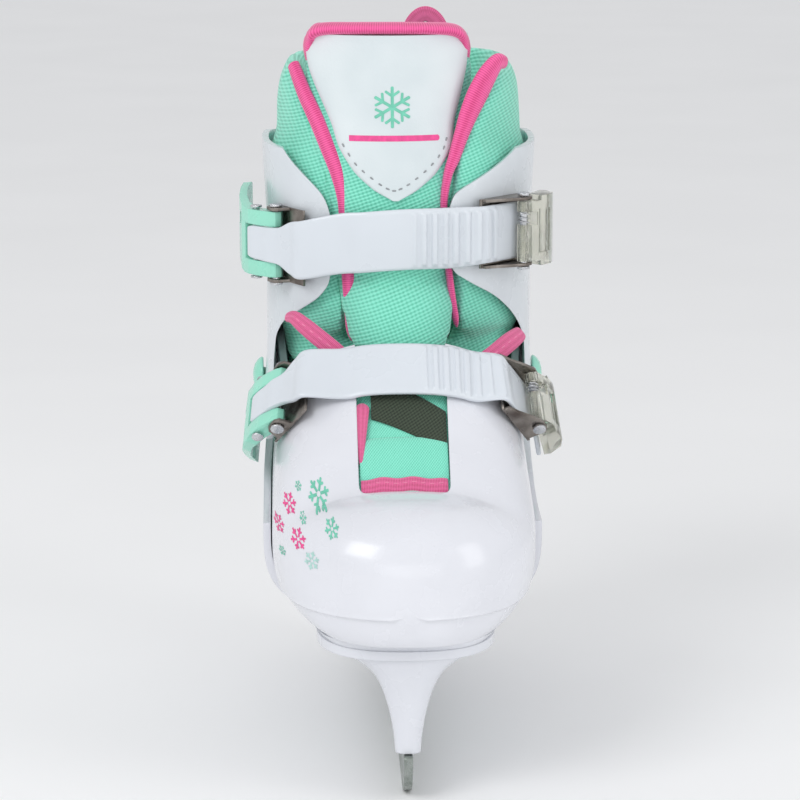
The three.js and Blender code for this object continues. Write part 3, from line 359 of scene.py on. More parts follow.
# %% Knits, tape, padding cloth and patch
def knit(name, dark, light, rib, loops, turn=(0, 0, 0), depth=0.35, sheen=0.35, which="Object"):
    m, shader = start_finish(name, light, 0.88)
    place = own_place(m, (1, 1, 1), turn, which)
    ribs = bands(m, place, rib, "Z" if which == "Object" else "Y", 0.6)
    cross = bands(m, place, loops, "X", 0.8)
    fuzz = noise(m, place, 1500 if which == "Object" else 15, 4)
    yarn = calc(m, "ADD", calc(m, "MULTIPLY", ribs, 0.6), calc(m, "ADD", calc(m, "MULTIPLY", cross, 0.3),
                                                             calc(m, "MULTIPLY", fuzz, 0.35)))
    broad = noise(m, own_place(m), 40, 2)
    tone = calc(m, "ADD", calc(m, "MULTIPLY", yarn, 0.75), calc(m, "MULTIPLY", broad, 0.25))
    link(m, shades(m, tone, dark, light, 0.25, 0.8), shader, "Base Color")
    bump(m, shader, yarn, depth, 0.8)
    shader.inputs["Sheen Weight"].default_value = sheen
    shader.inputs["Sheen Roughness"].default_value = 0.5
    return m

MINT_KNIT = knit("mint rib knit", (0.10, 0.50, 0.35), (0.27, 0.80, 0.62), 0.0013, 0.0016, (0, 0.35, 0))
MINT_SMOOTH = knit("mint padding cloth", (0.12, 0.56, 0.40), (0.25, 0.79, 0.61), 0.0007, 0.0007,
                   (0, 0.8, 0), 0.15)
PINK_RIB = knit("pink ribbed tape", (0.60, 0.035, 0.17), (0.92, 0.13, 0.38), 0.085, 0.2, which="UV",
                depth=0.22)
PINK_TAPE = knit("pink woven tape", (0.50, 0.06, 0.15), (0.83, 0.15, 0.36), 0.06, 0.1, which="UV",
                 depth=0.2)
# Near-black knit for the gusset and the footbed: partly the knit's own dark colour and partly painted shade,
# for the gusset seen deep in the toe window.
DARK_KNIT_AND_SHADE = knit("dark stretch knit and painted shade", (0.012, 0.02, 0.012), (0.05, 0.07, 0.042), 0.0009, 0.0011,
                 (0, 0.5, 0), 0.25, 0.15)

def patch_skin(name):
    m, shader = start_finish(name, (0.62, 0.69, 0.705), 0.42)
    place = own_place(m)
    grain = node(m, "ShaderNodeTexVoronoi", {"Vector": place, "Scale": 1300}).outputs["Distance"]
    link(m, shades(m, noise(m, place, 35, 2), (0.60, 0.665, 0.685), (0.70, 0.755, 0.77)), shader,
         "Base Color")
    link(m, spread(m, noise(m, place, 90, 3), 0.36, 0.5), shader, "Roughness")
    bump(m, shader, calc(m, "ADD", grain, calc(m, "MULTIPLY", noise(m, place, 60, 2), 3)), 0.08, 0.5)
    return m

PATCH_WHITE = patch_skin("smooth white patch")

def plain_print(name, colour, rough=0.5):
    m, shader = start_finish(name, colour, rough)
    place = own_place(m)
    link(m, shades(m, noise(m, place, 500, 3), [c * 0.85 for c in colour],
                   [min(1, c * 1.1) for c in colour]),
         shader, "Base Color")
    bump(m, shader, noise(m, place, 1800, 2), 0.03, 0.4)
    return m

MINT_PRINT = plain_print("mint print", (0.16, 0.56, 0.41))
PINK_PRINT = plain_print("pink print", (0.80, 0.07, 0.28))
PALE_PRINT = plain_print("pale mint print", (0.42, 0.66, 0.61))
PINK_THREAD = plain_print("pink thread", (0.85, 0.24, 0.42), 0.7)
GREY_THREAD = plain_print("grey thread", (0.30, 0.32, 0.33), 0.7)
print(len(bpy.data.materials), "finishes made")

# %% [markdown]
# ## Camera, floor and light
# The skate is seen from the toe end, from a little above it and with a long lens, so its sides stay
# almost upright. It stands on a plain pale floor in soft light from all round, with one broad lamp high
# on the left to draw the long highlights on the plastic.

# %% Set up the studio
def look_from(azimuth, elevation, distance, target):
    a, e = math.radians(azimuth), math.radians(elevation)
    back = Vector((math.sin(a) * math.cos(e), -math.cos(a) * math.cos(e), math.sin(e)))
    return Vector(target) + back * distance, back.to_track_quat("Z", "Y")

camera = bpy.data.objects.new("camera", bpy.data.cameras.new("camera"))
bpy.context.scene.collection.objects.link(camera)
camera.location, turn = look_from(-2, 12, 1.3, (0.001, 0, 0.1262))
camera.rotation_mode = "QUATERNION"
camera.rotation_quaternion = turn
camera.data.sensor_width = 36
camera.data.lens = 149
bpy.context.scene.camera = camera

floor_mesh = bpy.data.meshes.new("floor")
floor_mesh.from_pydata([(-9, -9, 0), (9, -9, 0), (9, 9, 0), (-9, 9, 0)], [], [(0, 1, 2, 3)])
floor = bpy.data.objects.new("floor", floor_mesh)
bpy.context.scene.collection.objects.link(floor)
floor_paint, floor_shader = start_finish("pale floor", (0.92, 0.92, 0.92), 0.7)
link(floor_paint, shades(floor_paint, noise(floor_paint, own_place(floor_paint), 6, 2), (0.91, 0.91, 0.91),
                         (0.93, 0.93, 0.93)), floor_shader, "Base Color")
floor.data.materials.append(floor_paint)

def lamp(name, place, aim, size, power):
    light = bpy.data.lights.new(name, "AREA")
    light.shape = "RECTANGLE"
    light.size, light.size_y = size
    light.energy = power
    obj = bpy.data.objects.new(name, light)
    bpy.context.scene.collection.objects.link(obj)
    obj.location = place
    obj.rotation_mode = "QUATERNION"
    obj.rotation_quaternion = (Vector(place) - Vector(aim)).to_track_quat("Z", "Y")

lamp("high left softbox", (-0.9, -1.0, 1.2), (0, 0, 0.12), (0.8, 0.8), 8.5)
lamp("right softbox", (1.1, -0.7, 0.6), (0, 0, 0.12), (0.5, 1.0), 2.8)
lamp("toe fill", (0.1, -1.5, 0.35), (0, 0, 0.12), (1.2, 0.5), 1.8)
world = bpy.data.worlds.new("soft room")
world.use_nodes = True
world.node_tree.nodes["Background"].inputs["Color"].default_value = (0.97, 0.98, 1.0, 1)
world.node_tree.nodes["Background"].inputs["Strength"].default_value = 0.76
bpy.context.scene.world = world
bpy.context.scene.view_settings.view_transform = "Standard"
print("camera at", [round(v, 3) for v in camera.location])

# %% [markdown]
# ## The toe shell
# The front half of the boot is one thin moulding: a round-nosed box that slides inside the heel half. Its
# section is a rounded square, fuller below than above. It carries a fine ridge round the foot of the toe,
# and a window over the instep. It is skinned from rings, hollowed with a smaller copy and cut with slabs.

# %% Sizes of the foot shells
TIP_Y, BALL_Y, SOLE_Z, WIDE_Z, TOE_HALF, WALL = -132, -62, 62, 90, 49.3, 2.8
RIDGE_Z = 73.5
BLADE_RIVETS, KNOB_Y = (-78, 62), -30
SOLE_SCREWS = ((-13, 40), (13, 40), (-12, 78), (12, 78))
SCREW_HOLE, KNOB_HOLE, PIVOT_HOLE = 2.3, 4.3, 3.4

def toe_top(y):
    if y < -95:
        return 84 + 28 * max(0, 1 - ((-95 - y) / 37) ** 2.4) ** (1 / 2.4)
    t = (y + 95) / 53
    return 112 + 37 * t + 7 * t * t

def toe_half_width(y):
    if y >= BALL_Y:
        return TOE_HALF
    return TOE_HALF * max(0, 1 - ((BALL_Y - y) / 70) ** 2.7) ** (1 / 2.1)

def toe_drop(y):
    full = WIDE_Z - SOLE_Z + 3
    return full if y >= -95 else full * max(0, 1 - ((-95 - y) / 37) ** 4) ** 0.25

def toe_mid(y):
    return WIDE_Z if y >= -95 else lerp(84, WIDE_Z, clamp01((y - TIP_Y) / 37) ** 0.5)

def ridge_step(z):
    """How far the skin stands out near the ridge: a fine bead, and a shallow set-in band below it."""
    d = z - RIDGE_Z
    return 0.32 * math.exp(-(d / 0.45) ** 2) - 0.75 * smooth((0.3 - d) / 1.6)

# %% Skin the toe
def toe_ring(y, inset, shift):
    a = max(0.5, toe_half_width(y) - inset)
    mid = toe_mid(y)
    up = max(0.4, toe_top(y) - mid - inset * 1.05)
    down = max(0.4, toe_drop(y) - inset)
    ring = [(a * spow(math.cos(t), 2 / 2.35), mid + up * spow(math.sin(t), 2 / 2.35))
            for t in (math.pi * k / 44 for k in range(45))]
    if inset:
        angles = [math.pi / 2 * k / 20 for k in range(1, 20)]
    else:
        spots = (1.5, 0.8, 0.4, 0, -0.4, -0.8, -1.6, -3)
        depths = [(mid - RIDGE_Z - d) / down for d in spots]
        first = min(0.8, max(0.1, depths[0]))
        depths = [min(0.9 + 0.008 * k, max(first + 0.004 * k, d)) for k, d in enumerate(depths)]
        angles = [math.asin(first**1.6) * k / 4 for k in range(1, 4)] + [math.asin(d**1.6) for d in depths]
        angles += [lerp(angles[-1], math.pi / 2, k / 9) for k in range(1, 9)]
    lower = [(a * spow(math.cos(t), 2 / 3.2), mid - down * spow(math.sin(t), 2 / 3.2)) for t in angles]
    ring += [(-x, z) for x, z in lower] + [(0, mid - down)] + list(reversed(lower))
    nose = clamp01((-95 - y) / 37) ** 2
    out = []
    for x, z in ring:
        d = ridge_step(z) if inset == 0 else 0
        out.append([x * (1 + d / a) if a > 3 else x, y + shift - d * nose, z])
    return out

def toe_skin(name, inset, stretch=0):
    ys = [TIP_Y + 0.03] + [TIP_Y + 70 * (1 - math.cos(k / 26 * math.pi / 2)) for k in range(1, 27)]
    ys += [-54, -46, -38, -30, -23, -16]
    rings = []
    for k, y in enumerate(ys):
        shift = inset * clamp01((BALL_Y - y) / 70) ** 3 + (stretch if k == len(ys) - 1 else 0)
        rings.append(toe_ring(y, inset, shift))
    return loft(name, rings)

def rounded(outline, radius, steps=5):
    """The same outline with its corners turned into arcs."""
    out = []
    n = len(outline)
    for i in range(n):
        p, a, b = Vector(outline[i]), Vector(outline[i - 1]), Vector(outline[(i + 1) % n])
        r = min(radius, (a - p).length * 0.45, (b - p).length * 0.45)
        one, two = p + (a - p).normalized() * r, p + (b - p).normalized() * r
        for k in range(steps + 1):
            t = k / steps
            out.append(tuple(one * (1 - t) ** 2 + p * 2 * t * (1 - t) + two * t * t))
    return out

# %% Hollow it, open the window and the throat
def under(z):
    return block((-90, -200, -10), (90, 200, z))

toe_shell = toe_skin("toe_shell_skin", 0)
cut(toe_shell, under(SOLE_Z + 0.35))
toe_inner = cut(toe_skin("cutter", WALL, 5), under(SOLE_Z + 2.6))
window = slab("cutter", rounded([(-17.8, 12), (-17.2, -95), (16.4, -95), (17, 12)], 4), "xy", 95, 200)
throat = slab("cutter", rounded([(-42, 200), (-40, 156), (-33, 149), (-22, 144), (-8, 136), (30, 132),
                                 (30, 200)], 6),
              "yz", -90, 90)
cut(toe_shell, toe_inner, window, throat)
soften(toe_shell, 0.7)
dress(toe_shell, SHELL_WHITE, "toe", "white_shell", "toe_shell")

# %% [markdown]
# ## The heel shell
# The rear half holds the heel and wraps the toe half along its sides, so it shows as a narrow strip
# there. It is drawn in above its side edge so that it nests inside the ankle cuff.

# %% The cuff's oval, which the heel nests in
CUFF_X, CUFF_Y, CUFF_A, CUFF_B, CUFF_POWER = 1.5, 38, 52.5, 60, 2.5
PIVOT = (43, 128)

def oval(z, a, b, power=CUFF_POWER, count=112):
    return [[CUFF_X + a * spow(math.cos(t), 2 / power), CUFF_Y + b * spow(math.sin(t), 2 / power), z]
            for t in (2 * math.pi * k / count for k in range(count))]

def cuff_flare(z):
    return lerp(1.8, 0, smooth((z - 110) / 40)) if z < 150 else lerp(0, 1.5, smooth((z - 190) / 40))

def cuff_skin(name, inset, low, high, short=0):
    rings = []
    for k in range(25):
        z = lerp(low, high, k / 24)
        rings.append(oval(z, CUFF_A - inset + cuff_flare(z), CUFF_B - inset - short))
    return loft(name, rings)

# %% Skin and trim the heel
def heel_half_width(y):
    if y < -14:
        return 52.6
    if y < 50:
        return lerp(52.6, 49.2, smooth((y + 14) / 64))
    return 49.2 * max(0, 1 - ((y - 50) / 54) ** 2.6) ** (1 / 2.3)

def heel_skin(name, inset):
    ys = [-60, -40, -25, -14, -8, -2, 4, 10, 16, 22, 30, 38, 46, 54, 62, 70, 77, 84, 89, 94, 97, 100,
          102, 103.2]
    rings = []
    for k, y in enumerate(ys):
        rise = smooth((y + 14) / 58)
        mid = lerp(90, 128, rise)
        down = mid - 62 + lerp(3, 14, rise) + 3.3
        a = max(1, heel_half_width(y) - inset)
        shift = (-inset * 4 if k == 0 else 0) - (inset if y > 90 else 0)
        ring = []
        for i in range(96):
            s, c = math.sin(2 * math.pi * i / 96), math.cos(2 * math.pi * i / 96)
            n = 3 if s >= 0 else lerp(3.2, 2.3, rise)
            high = 60 if s >= 0 else down - inset
            ring.append([1.5 * rise + a * spow(c, 2 / n), y + shift, mid + high * spow(s, 2 / n)])
        rings.append(ring)
    return loft(name, rings)

# The heel is drawn in by this much inside the cuff, and by more at front and back.
NEST_ALL, NEST_ENDS = 4.0, 5

def heel_body(name, inset):
    nest = cut(block((-90, -13, 111), (90, 200, 300)), cuff_skin("cutter", NEST_ALL + inset, 90, 250,
            NEST_ENDS))
    return cut(heel_skin(name, inset), nest)

heel_shell = heel_body("heel_shell_skin", 0)
top_edge = rounded([(-90, 300), (-90, 92), (-52, 92), (-36, 93), (-18, 97), (-4, 106), (10, 126),
                    (24, 143), (34, 148), (56, 148), (72, 144), (96, 136), (125, 132), (125, 300)], 7)
cut(heel_shell, under(SOLE_Z - 2.6), cut(heel_body("cutter", WALL), under(SOLE_Z)),
    slab("cutter", top_edge, "yz", -90, 90), bar((-90, *PIVOT), (90, *PIVOT), PIVOT_HOLE),
    block((-60, -90, 50), (60, -56, 62)), bar((0, KNOB_Y, 40), (0, KNOB_Y, 80), KNOB_HOLE))
for x, y in SOLE_SCREWS:
    cut(heel_shell, bar((x, y, 40), (x, y, 80), SCREW_HOLE))
soften(heel_shell, 0.7)
dress(heel_shell, SHELL_WHITE, "heel", "white_shell", "heel_shell")

# %% [markdown]
# ## The ankle cuff
# The cuff is an open oval collar that hinges on the heel. Two wings reach forward and leave a waisted
# opening for the tongue, and the buckles are riveted to the wings. A rounded slab cuts the opening.

# %% Make the cuff
cuff_shell = cuff_skin("cuff_shell_skin", 0, 98, 240)
OPENING = [(-47, 260), (-46.2, 229), (-41.5, 222), (-34.5, 215.2), (-28.8, 209.6), (-26, 202),
           (-26.5, 176), (-30.5, 170), (-37.5, 164.4), (-42.3, 160.4), (-45.2, 156.6), (-47.4, 151),
           (-48.5, 139), (-48.5, 98), (48.8, 98), (50.6, 140), (50, 150), (47.5, 156.8),
           (43.6, 163.2), (37.5, 169.8), (26.5, 176.6), (20, 181), (18.8, 204), (21, 210.4),
           (26, 213.6), (33, 217.3), (40.5, 222), (48, 228), (48, 260)]
cuff_side = rounded([(-60, 300), (-60, 226), (20, 226), (38, 226), (60, 226), (84, 222), (120, 220),
                     (120, 300)], 9)
cuff_foot = rounded([(-60, 60), (-60, 134), (-20, 130), (4, 122), (20, 115), (56, 114), (76, 118),
                     (130, 126), (130, 60)], 8)
cut(cuff_shell, cuff_skin("cutter", 2.6, 90, 250), slab("cutter", rounded(OPENING, 5), "xz", -60, 22),
    slab("cutter", cuff_side, "yz", -90, 90), slab("cutter", cuff_foot, "yz", -90, 90),
    bar((-90, *PIVOT), (90, *PIVOT), PIVOT_HOLE))
soften(cuff_shell, 0.8)
dress(cuff_shell, CUFF_WHITE, "cuff", "white_shell", "cuff_shell")

# %% The mint domed rivets that the cuff turns on
for side, word in ((-1, "left"), (1, "right")):
    x = CUFF_X + side * (CUFF_A + cuff_flare(PIVOT[1]) + 0.2)
    dome = [(0, -8.9), (5.5, -8.9), (5.5, -7.8), (3.1, -7.8), (3.1, 0.4), (7, 0.5), (7.4, 1.1),
            (7, 1.9), (6, 3), (4.4, 4), (2.2, 4.6), (0, 4.75)]
    rivet = turned(f"cuff_rivet_{word}_cap", dome, (x, *PIVOT), (side, 0, 0))
    dress(soften(rivet, 0.3), MINT_PLASTIC, "heel", "mint_plastic", f"cuff_rivet_{word}")

# %% [markdown]
# ## The blade holder and the runner
# Under the boot a moulded holder flares from a narrow rail up to the sole, in a front and a rear tower.
# The steel runner sits in its slot and curves up at both ends. The flare is what shows from the front, so
# its rings follow it closely.

# %% The holder's two towers
FLARE = [[19, 4.7], [23, 5.0], [27, 5.5], [34, 6.9], [40, 8.7], [44.5, 10.6], [48, 13], [51, 16.6],
         [54, 22], [57, 27.5], [59.5, 31.5], [61.6, 34]]

def holder_ring(z, half, y0, y1):
    reach = min(half, (y1 - y0) / 2) * 0.98
    ring = []
    for k in range(72):
        c, s = math.cos(2 * math.pi * (k + 0.5) / 72), math.sin(2 * math.pi * (k + 0.5) / 72)
        ring.append([half * spow(c, 0.75), (y0 + y1) / 2 + math.copysign((y1 - y0) / 2 - reach, s)
                     + reach * spow(s, 0.8), z])
    return ring

def tower(name, low, high, width, top):
    rings = []
    for k in range(33):
        z = lerp(19, top, (k / 32) ** 0.8)
        way = smooth((z - 32) / (top - 30))
        half = table_at(FLARE, z)[0]
        half = lerp(half, half * width, smooth((z - 44) / 14))
        rings.append(holder_ring(z, half, lerp(low[0], high[0], way), lerp(low[1], high[1], way)))
    return loft(name, rings)

holder = tower("blade_holder_skin", (-117, -52), (-121, -46), 1.0, 61.7)
cut(holder, tower("cutter", (29, 97), (24, 95), 0.74, 59.2), how="UNION")
SOLE = [(34 * spow(math.cos(a), 0.8), -88 + 35.5 * spow(math.sin(a), 0.85))
        for a in (math.pi * (1 + k / 24) for k in range(25))]
SOLE += [(33, -60), (24, -20), (20, 10), (24, 50)]
SOLE += [(25 * spow(math.cos(a), 0.9), 68 + 27 * math.sin(a)) for a in (math.pi * k / 16
        for k in range(17))]
SOLE += [(-24, 50), (-20, 10), (-24, -20), (-33, -60)]
plate = slab("cutter", [(x * 0.97, y * 0.985 if y < 0 else y) for x, y in SOLE], "xy", 55.5, 59)
cut(holder, plate, block((-4.7, -60, 19), (4.7, 40, 31)), how="UNION")
cut(holder, block((-1.9, -106.4, 0), (1.9, 88.4, 28.4)), bar((0, KNOB_Y, 30), (0, KNOB_Y, 80), KNOB_HOLE))
for y in BLADE_RIVETS:
    cut(holder, bar((-30, y, 24), (-4.2, y, 24), 3.4), bar((4.2, y, 24), (30, y, 24), 3.4),
        bar((-9, y, 24), (9, y, 24), 2.1))
for x, y in SOLE_SCREWS:
    cut(holder, bar((x, y, 30), (x, y, 80), SCREW_HOLE), bar((x, y, 5), (x, y, 54.5), 4.2))
soften(holder, 0.5)
dress(holder, HOLDER_WHITE, "heel", "white_shell", "blade_holder")

# %% The runner
front = [(-98 - 22 * math.sin(a), 21 * (1 - math.cos(a))) for a in (math.pi / 2 * k / 20
        for k in range(20, -1, -1))]
back = [(93 + 8 * math.sin(a), 12 * (1 - math.cos(a))) for a in (math.pi / 2 * k / 10 for k in range(11))]
front = [p for p in front if p[1] < 18.4]
runner = slab("runner", front + back + [(100.5, 18.6), (88, 18.6), (88, 28), (-106, 28), (-106, 18.6),
                                        (-119, 18.6)],
              "yz", -1.6, 1.6)
for y in BLADE_RIVETS:
    cut(runner, bar((-20, y, 24), (20, y, 24), 2.1))
dress(soften(runner, 0.18), RUNNER_STEEL, "heel", "runner_steel", "blade")

# %% [markdown]
# ## The padded liner
# Inside the shells sits a boot of foam under a mint rib knit. Each part starts as the plain solid from
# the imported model's own sizes, is rebuilt as an even skin, and is then blown up a little as cloth over
# foam, so that its cut edges turn into soft rolled ones. Every point is held within a few millimetres of
# where it began.

# %% Blow a pad up like foam under cloth
def stuff(obj, voxel, cap):
    skin = obj.modifiers.new("even skin", "REMESH")
    skin.mode = "VOXEL"
    skin.voxel_size = voxel * 0.001
    settle(obj)
    calm = obj.modifiers.new("calm", "SMOOTH")
    calm.factor, calm.iterations = 0.5, 6
    settle(obj)
    start = [v.co.copy() for v in obj.data.vertices]
    cloth = obj.modifiers.new("cloth", "CLOTH")
    cloth.settings.use_pressure = True
    cloth.settings.uniform_pressure_force = 4.0
    cloth.settings.effector_weights.gravity = 0
    cloth.settings.tension_stiffness = 25
    for f in range(1, 15):
        bpy.context.scene.frame_set(f)
    settle(obj)
    bpy.context.scene.frame_set(1)
    for v, home in zip(obj.data.vertices, start):
        way = v.co - home
        if way.length > cap * 0.001:
            v.co = home + way.normalized() * cap * 0.001
    finer = obj.modifiers.new("finer", "SUBSURF")
    finer.levels = finer.render_levels = 1
    settle(obj)
    return shade(obj, 80)

def cloth_piece(obj, material, slot, *stands_for, body=None, between=None, fill=0.6):
    obj.data.materials.clear()
    obj.data.materials.append(material)
    if between:
        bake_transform(obj)
    else:
        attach(obj, body)
    if stands_for:
        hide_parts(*stands_for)
    print(obj.name, len(obj.data.polygons), "faces")
    return obj

# %% The ankle part of the liner
def ankle_skin(name, inset):
    rings = []
    for k in range(28):
        z = lerp(138, 259, k / 27)
        closing = 3 * smooth((z - 248) / 11)
        nest = 4.4 * smooth((157 - z) / 4)
        grow = 3.1 + nest + inset + (-closing if inset > 4 else closing)
        rings.append(oval(z, CUFF_A - grow - 3 * smooth((z - 222) / 6), CUFF_B - grow - 1.3 * nest,
                          count=72))
    return loft(name, rings)

liner_cuff = ankle_skin("liner_cuff_pad", 0.6)
gap_left = [(-40.4, 262), (-38, 250), (-33, 238), (-27, 222), (-23, 205), (-22, 178), (-20, 150)]
gap_right = [(23.5, 150), (21.5, 178), (18.5, 205), (21, 224), (27, 240), (33, 250), (37, 262)]
low_front = [(-60, 60), (-60, 168), (-14, 156), (-8, 138), (34, 137), (34, 60)]
rim = [(-60, 300), (-60, 255), (-10, 257), (10, 257), (40, 260.5), (120, 254), (120, 300)]
cut(liner_cuff, ankle_skin("cutter", 10.4), slab("cutter", gap_left + gap_right, "xz", -60, 20),
    slab("cutter", rim, "yz", -90, 90), slab("cutter", low_front, "yz", -90, 90))
stuff(liner_cuff, 2.4, 2.2)
cloth_piece(liner_cuff, MINT_KNIT, "mint_fabric", "liner_cuff",
            between=("heel", "cuff", (0, 0.04, 0.138), (0, 0.04, 0.168)))

# %% The heel and toe parts of the liner
def from_node(node_name, name):
    """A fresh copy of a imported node, with its doubled corners joined."""
    obj = bpy.data.objects.new(name, frame["nodes"][node_name].data.copy())
    bpy.context.scene.collection.objects.link(obj)
    work = bmesh.new()
    work.from_mesh(obj.data)
    bmesh.ops.remove_doubles(work, verts=work.verts, dist=0.00001)
    bmesh.ops.recalc_face_normals(work, faces=work.faces)
    work.to_mesh(obj.data)
    work.free()
    if obj.data.has_custom_normals:
        obj.data.attributes.remove(obj.data.attributes["custom_normal"])
    return obj

liner_heel = stuff(from_node("liner_heel", "liner_heel_pad"), 3, 1.0)
cloth_piece(liner_heel, MINT_KNIT, "mint_fabric", "liner_heel", body="heel")
liner_toe = stuff(from_node("liner_toe", "liner_toe_pad"), 2.4, 1.0)
cloth_piece(liner_toe, MINT_SMOOTH, "mint_fabric", "liner_toe", body="toe")
footbed = stuff(from_node("footbed", "footbed_pad"), 2, 0.5)
cloth_piece(footbed, DARK_KNIT_AND_SHADE, "dark_knit", "footbed", body="heel", fill=0.9)

# %% [markdown]
# ## The tongue
# The tongue is a thick pad bowed round the shin. It is pinched into a deep crease where the foot bends
# and swells out again below it. Rings describe that directly: each is a soft-edged pad, set forward or
# back by the crease.

# %% The tongue pad
CREASE_Z, BULGE_Z = 177.5, 166
TONGUE = [[128, -56, 15], [146, -42, 18], [160, -31, 21], [168, -25.5, 23], [176, -21.5, 24],
          [200, -20.5, 27], [225, -17, 31], [248, -13, 32.5], [262, -11, 32], [268, -10, 31]]

def tongue_at(z):
    y, half = table_at(TONGUE, z)
    return -3.5 * smooth((z - 150) / 100), y, half

def tongue_front(x, z, lift=0.0):
    """A point on the tongue's face, lifted off it by lift."""
    centre, y, half = tongue_at(z)
    u = min(1.08, abs(x - centre) / half)
    return [x, y - lift + 9 * u * u + 1.2 * u**6, z]

def tongue_pad(name, low, high, narrow=1.0):
    rings = []
    for k in range(61):
        z = lerp(low, high, k / 60)
        centre, y, half = tongue_at(z)
        end = min(1, (min(z - low, high - z) + 0.25) / 4)
        crease = -4.5 * math.exp(-((z - CREASE_Z) / 1.9) ** 2) + 2.8 * math.exp(-((z - BULGE_Z) / 8.5) ** 2)
        ring = []
        for i in range(56):
            t = 2 * math.pi * i / 56
            u = spow(math.cos(t), 0.55)
            thick = 5 * spow(math.sin(t), 0.75) * end**0.5
            push = crease * max(0, 1 - u**4) if math.sin(t) < 0 else 0
            ring.append([centre + u * half * narrow, y + 5 + 9 * (u * narrow) ** 2 + thick - push, z])
        rings.append(ring)
    return loft(name, rings)

tongue = tongue_pad("tongue_pad", 151, 270.5)
stuff(tongue, 2.2, 1.2)
cloth_piece(tongue, MINT_KNIT, "mint_fabric", "tongue", body="cuff", fill=0.8)
tongue_lower = tongue_pad("tongue_lower_pad", 122, 151.5, 0.8)
stuff(tongue_lower, 2.2, 0.8)
cloth_piece(tongue_lower, MINT_SMOOTH, "mint_fabric", "tongue_lower", body="toe", fill=0.8)

# %% The shield-shaped patch and its needle holes
PATCH = [[208.3, -2.6, -0.2], [210.5, -6.8, 4.4], [212, -9.5, 7], [217, -15.4, 13.1],
         [220, -18, 15.6], [224, -20.6, 18.3], [228, -22.8, 20.6], [232, -24.2, 21.1],
         [236.4, -25.5, 21.2], [244, -28.7, 23.1], [251.7, -32.1, 25], [258.5, -34.4, 26.4],
         [266.5, -35.4, 27]]

PATCH_LIFT = 2.4  # from the tongue's face to the patch's

def patch_surface(name, low, high, lift_top, lift_bottom):
    rings = []
    for k in range(49):
        z = lerp(low, high, k / 48)
        left, right = table_at(PATCH, z)
        front, rear = [], []
        for i in range(33):
            t = i / 32
            x = lerp(left, right, t)
            edge = (1 - abs(2 * t - 1) ** 14) ** 0.5
            front.append(tongue_front(x, z, lerp(lift_bottom, lift_top, edge)))
            rear.append(tongue_front(x, z, lift_bottom - 0.4))
        rings.append(front + rear[::-1])
    return loft(name, rings)

patch = patch_surface("tongue_patch_skin", 208.3, 270.3, PATCH_LIFT, 1.2)
dress(shade(patch, 60), PATCH_WHITE, "cuff", "patch_leather", "tongue_patch")

def beads(name, places, size, material, body, slot):
    """Many little rounded lozenges, one per place: (point, way along, way out)."""
    verts, faces = [], []
    long, wide, high = size
    for point, along, out in places:
        p, d, o = Vector(point), Vector(along).normalized(), Vector(out).normalized()
        side = d.cross(o).normalized()
        base = len(verts)
        for s, h in ((-1, 0.15), (-0.8, 0.8), (0, 1), (0.8, 0.8), (1, 0.15)):
            for k in range(8):
                a = 2 * math.pi * k / 8
                q = p + d * s * long / 2 + side * math.cos(a) * wide / 2 * h + o * math.sin(a) * high / 2 * h
                verts.append(list(q))
        for r in range(4):
            for k in range(8):
                j = (k + 1) % 8
                faces.append((base + r * 8 + k, base + r * 8 + j, base + r * 8 + 8 + j,
                              base + r * 8 + 8 + k))
        faces.append(tuple(base + k for k in range(8)))
        faces.append(tuple(base + 32 + k for k in range(8)))
    return dress(shade(make_piece(name, verts, faces), 80), material, body, slot)

stitch_line = [(-21.2, 229), (-19, 225.5), (-16.5, 222), (-13.6, 219.3), (-10.4, 216.8),
               (-7.2, 214.5), (-4.4, 212.9), (-2, 212.2), (0.4, 212.8), (3.4, 214.4), (6.6, 216.6),
               (9.8, 219.1), (12.6, 221.7), (15.2, 224.6), (17.2, 227.8), (18.2, 231)]
holes = []
for k, (x, z) in enumerate(stitch_line):
    a, b = stitch_line[max(0, k - 1)], stitch_line[min(len(stitch_line) - 1, k + 1)]
    holes.append((tongue_front(x, z, PATCH_LIFT), (b[0] - a[0], 0, b[1] - a[1]), (0, -1, 0)))
beads("patch_stitches", holes, (1.7, 0.75, 0.5), GREY_THREAD, "cuff", "patch_leather")

# %% A plain snow crystal and bar on the patch
INK = 0.06  # how far a print stands off its surface

def crystal(radius, turn, core, arm, fork, twig, thin, lean):
    """A six-armed snow crystal as strokes (start, end, half width). Lengths are shares of its radius."""
    strokes = []
    for k in range(6):
        a = math.pi / 3 * k + turn
        d = Vector((math.cos(a), math.sin(a)))
        strokes.append((d * radius * core, d * radius, radius * arm))
        for side in (-1, 1):
            b = a + side * math.radians(lean)
            root = d * radius * fork
            strokes.append((root, root + Vector((math.cos(b), math.sin(b))) * radius * twig, radius * thin))
    return strokes

def print_on(name, strokes, surface, material, body, slot, lift):
    verts, faces = [], []
    for layer, (a, b, w) in enumerate(strokes):
        d = (b - a).normalized()
        n = Vector((-d.y, d.x))
        steps = max(2, int((b - a).length / 0.8))
        base = len(verts)
        for i in range(steps + 1):
            for s in (-1, -0.4, 0.4, 1):
                q = a.lerp(b, i / steps) + n * s * w + d * (w * 0.5 if i == steps and abs(s) < 1 else 0)
                verts.append(surface(q.x, q.y, lift + 0.004 * layer))
        for i in range(steps):
            for s in range(3):
                c = base + i * 4 + s
                faces.append((c, c + 1, c + 5, c + 4))
    return dress(shade(make_piece(name, verts, faces), 80), material, body, slot)

print_on("patch_crystal", crystal(7.5, math.pi / 2, 0, 0.08, 0.55, 0.42, 0.16 / 2.4, 55),
         lambda x, z, up: tongue_front(x - 2.5, z + 243.5, PATCH_LIFT + up),
         MINT_PRINT, "cuff", "mint_plastic", INK)
print_on("patch_bar", [(Vector((-19, 0)), Vector((15, 0)), 1.1)],
         lambda x, z, up: tongue_front(x, z + 231.8, PATCH_LIFT + up), PINK_PRINT, "cuff", "pink_fabric",
         INK)

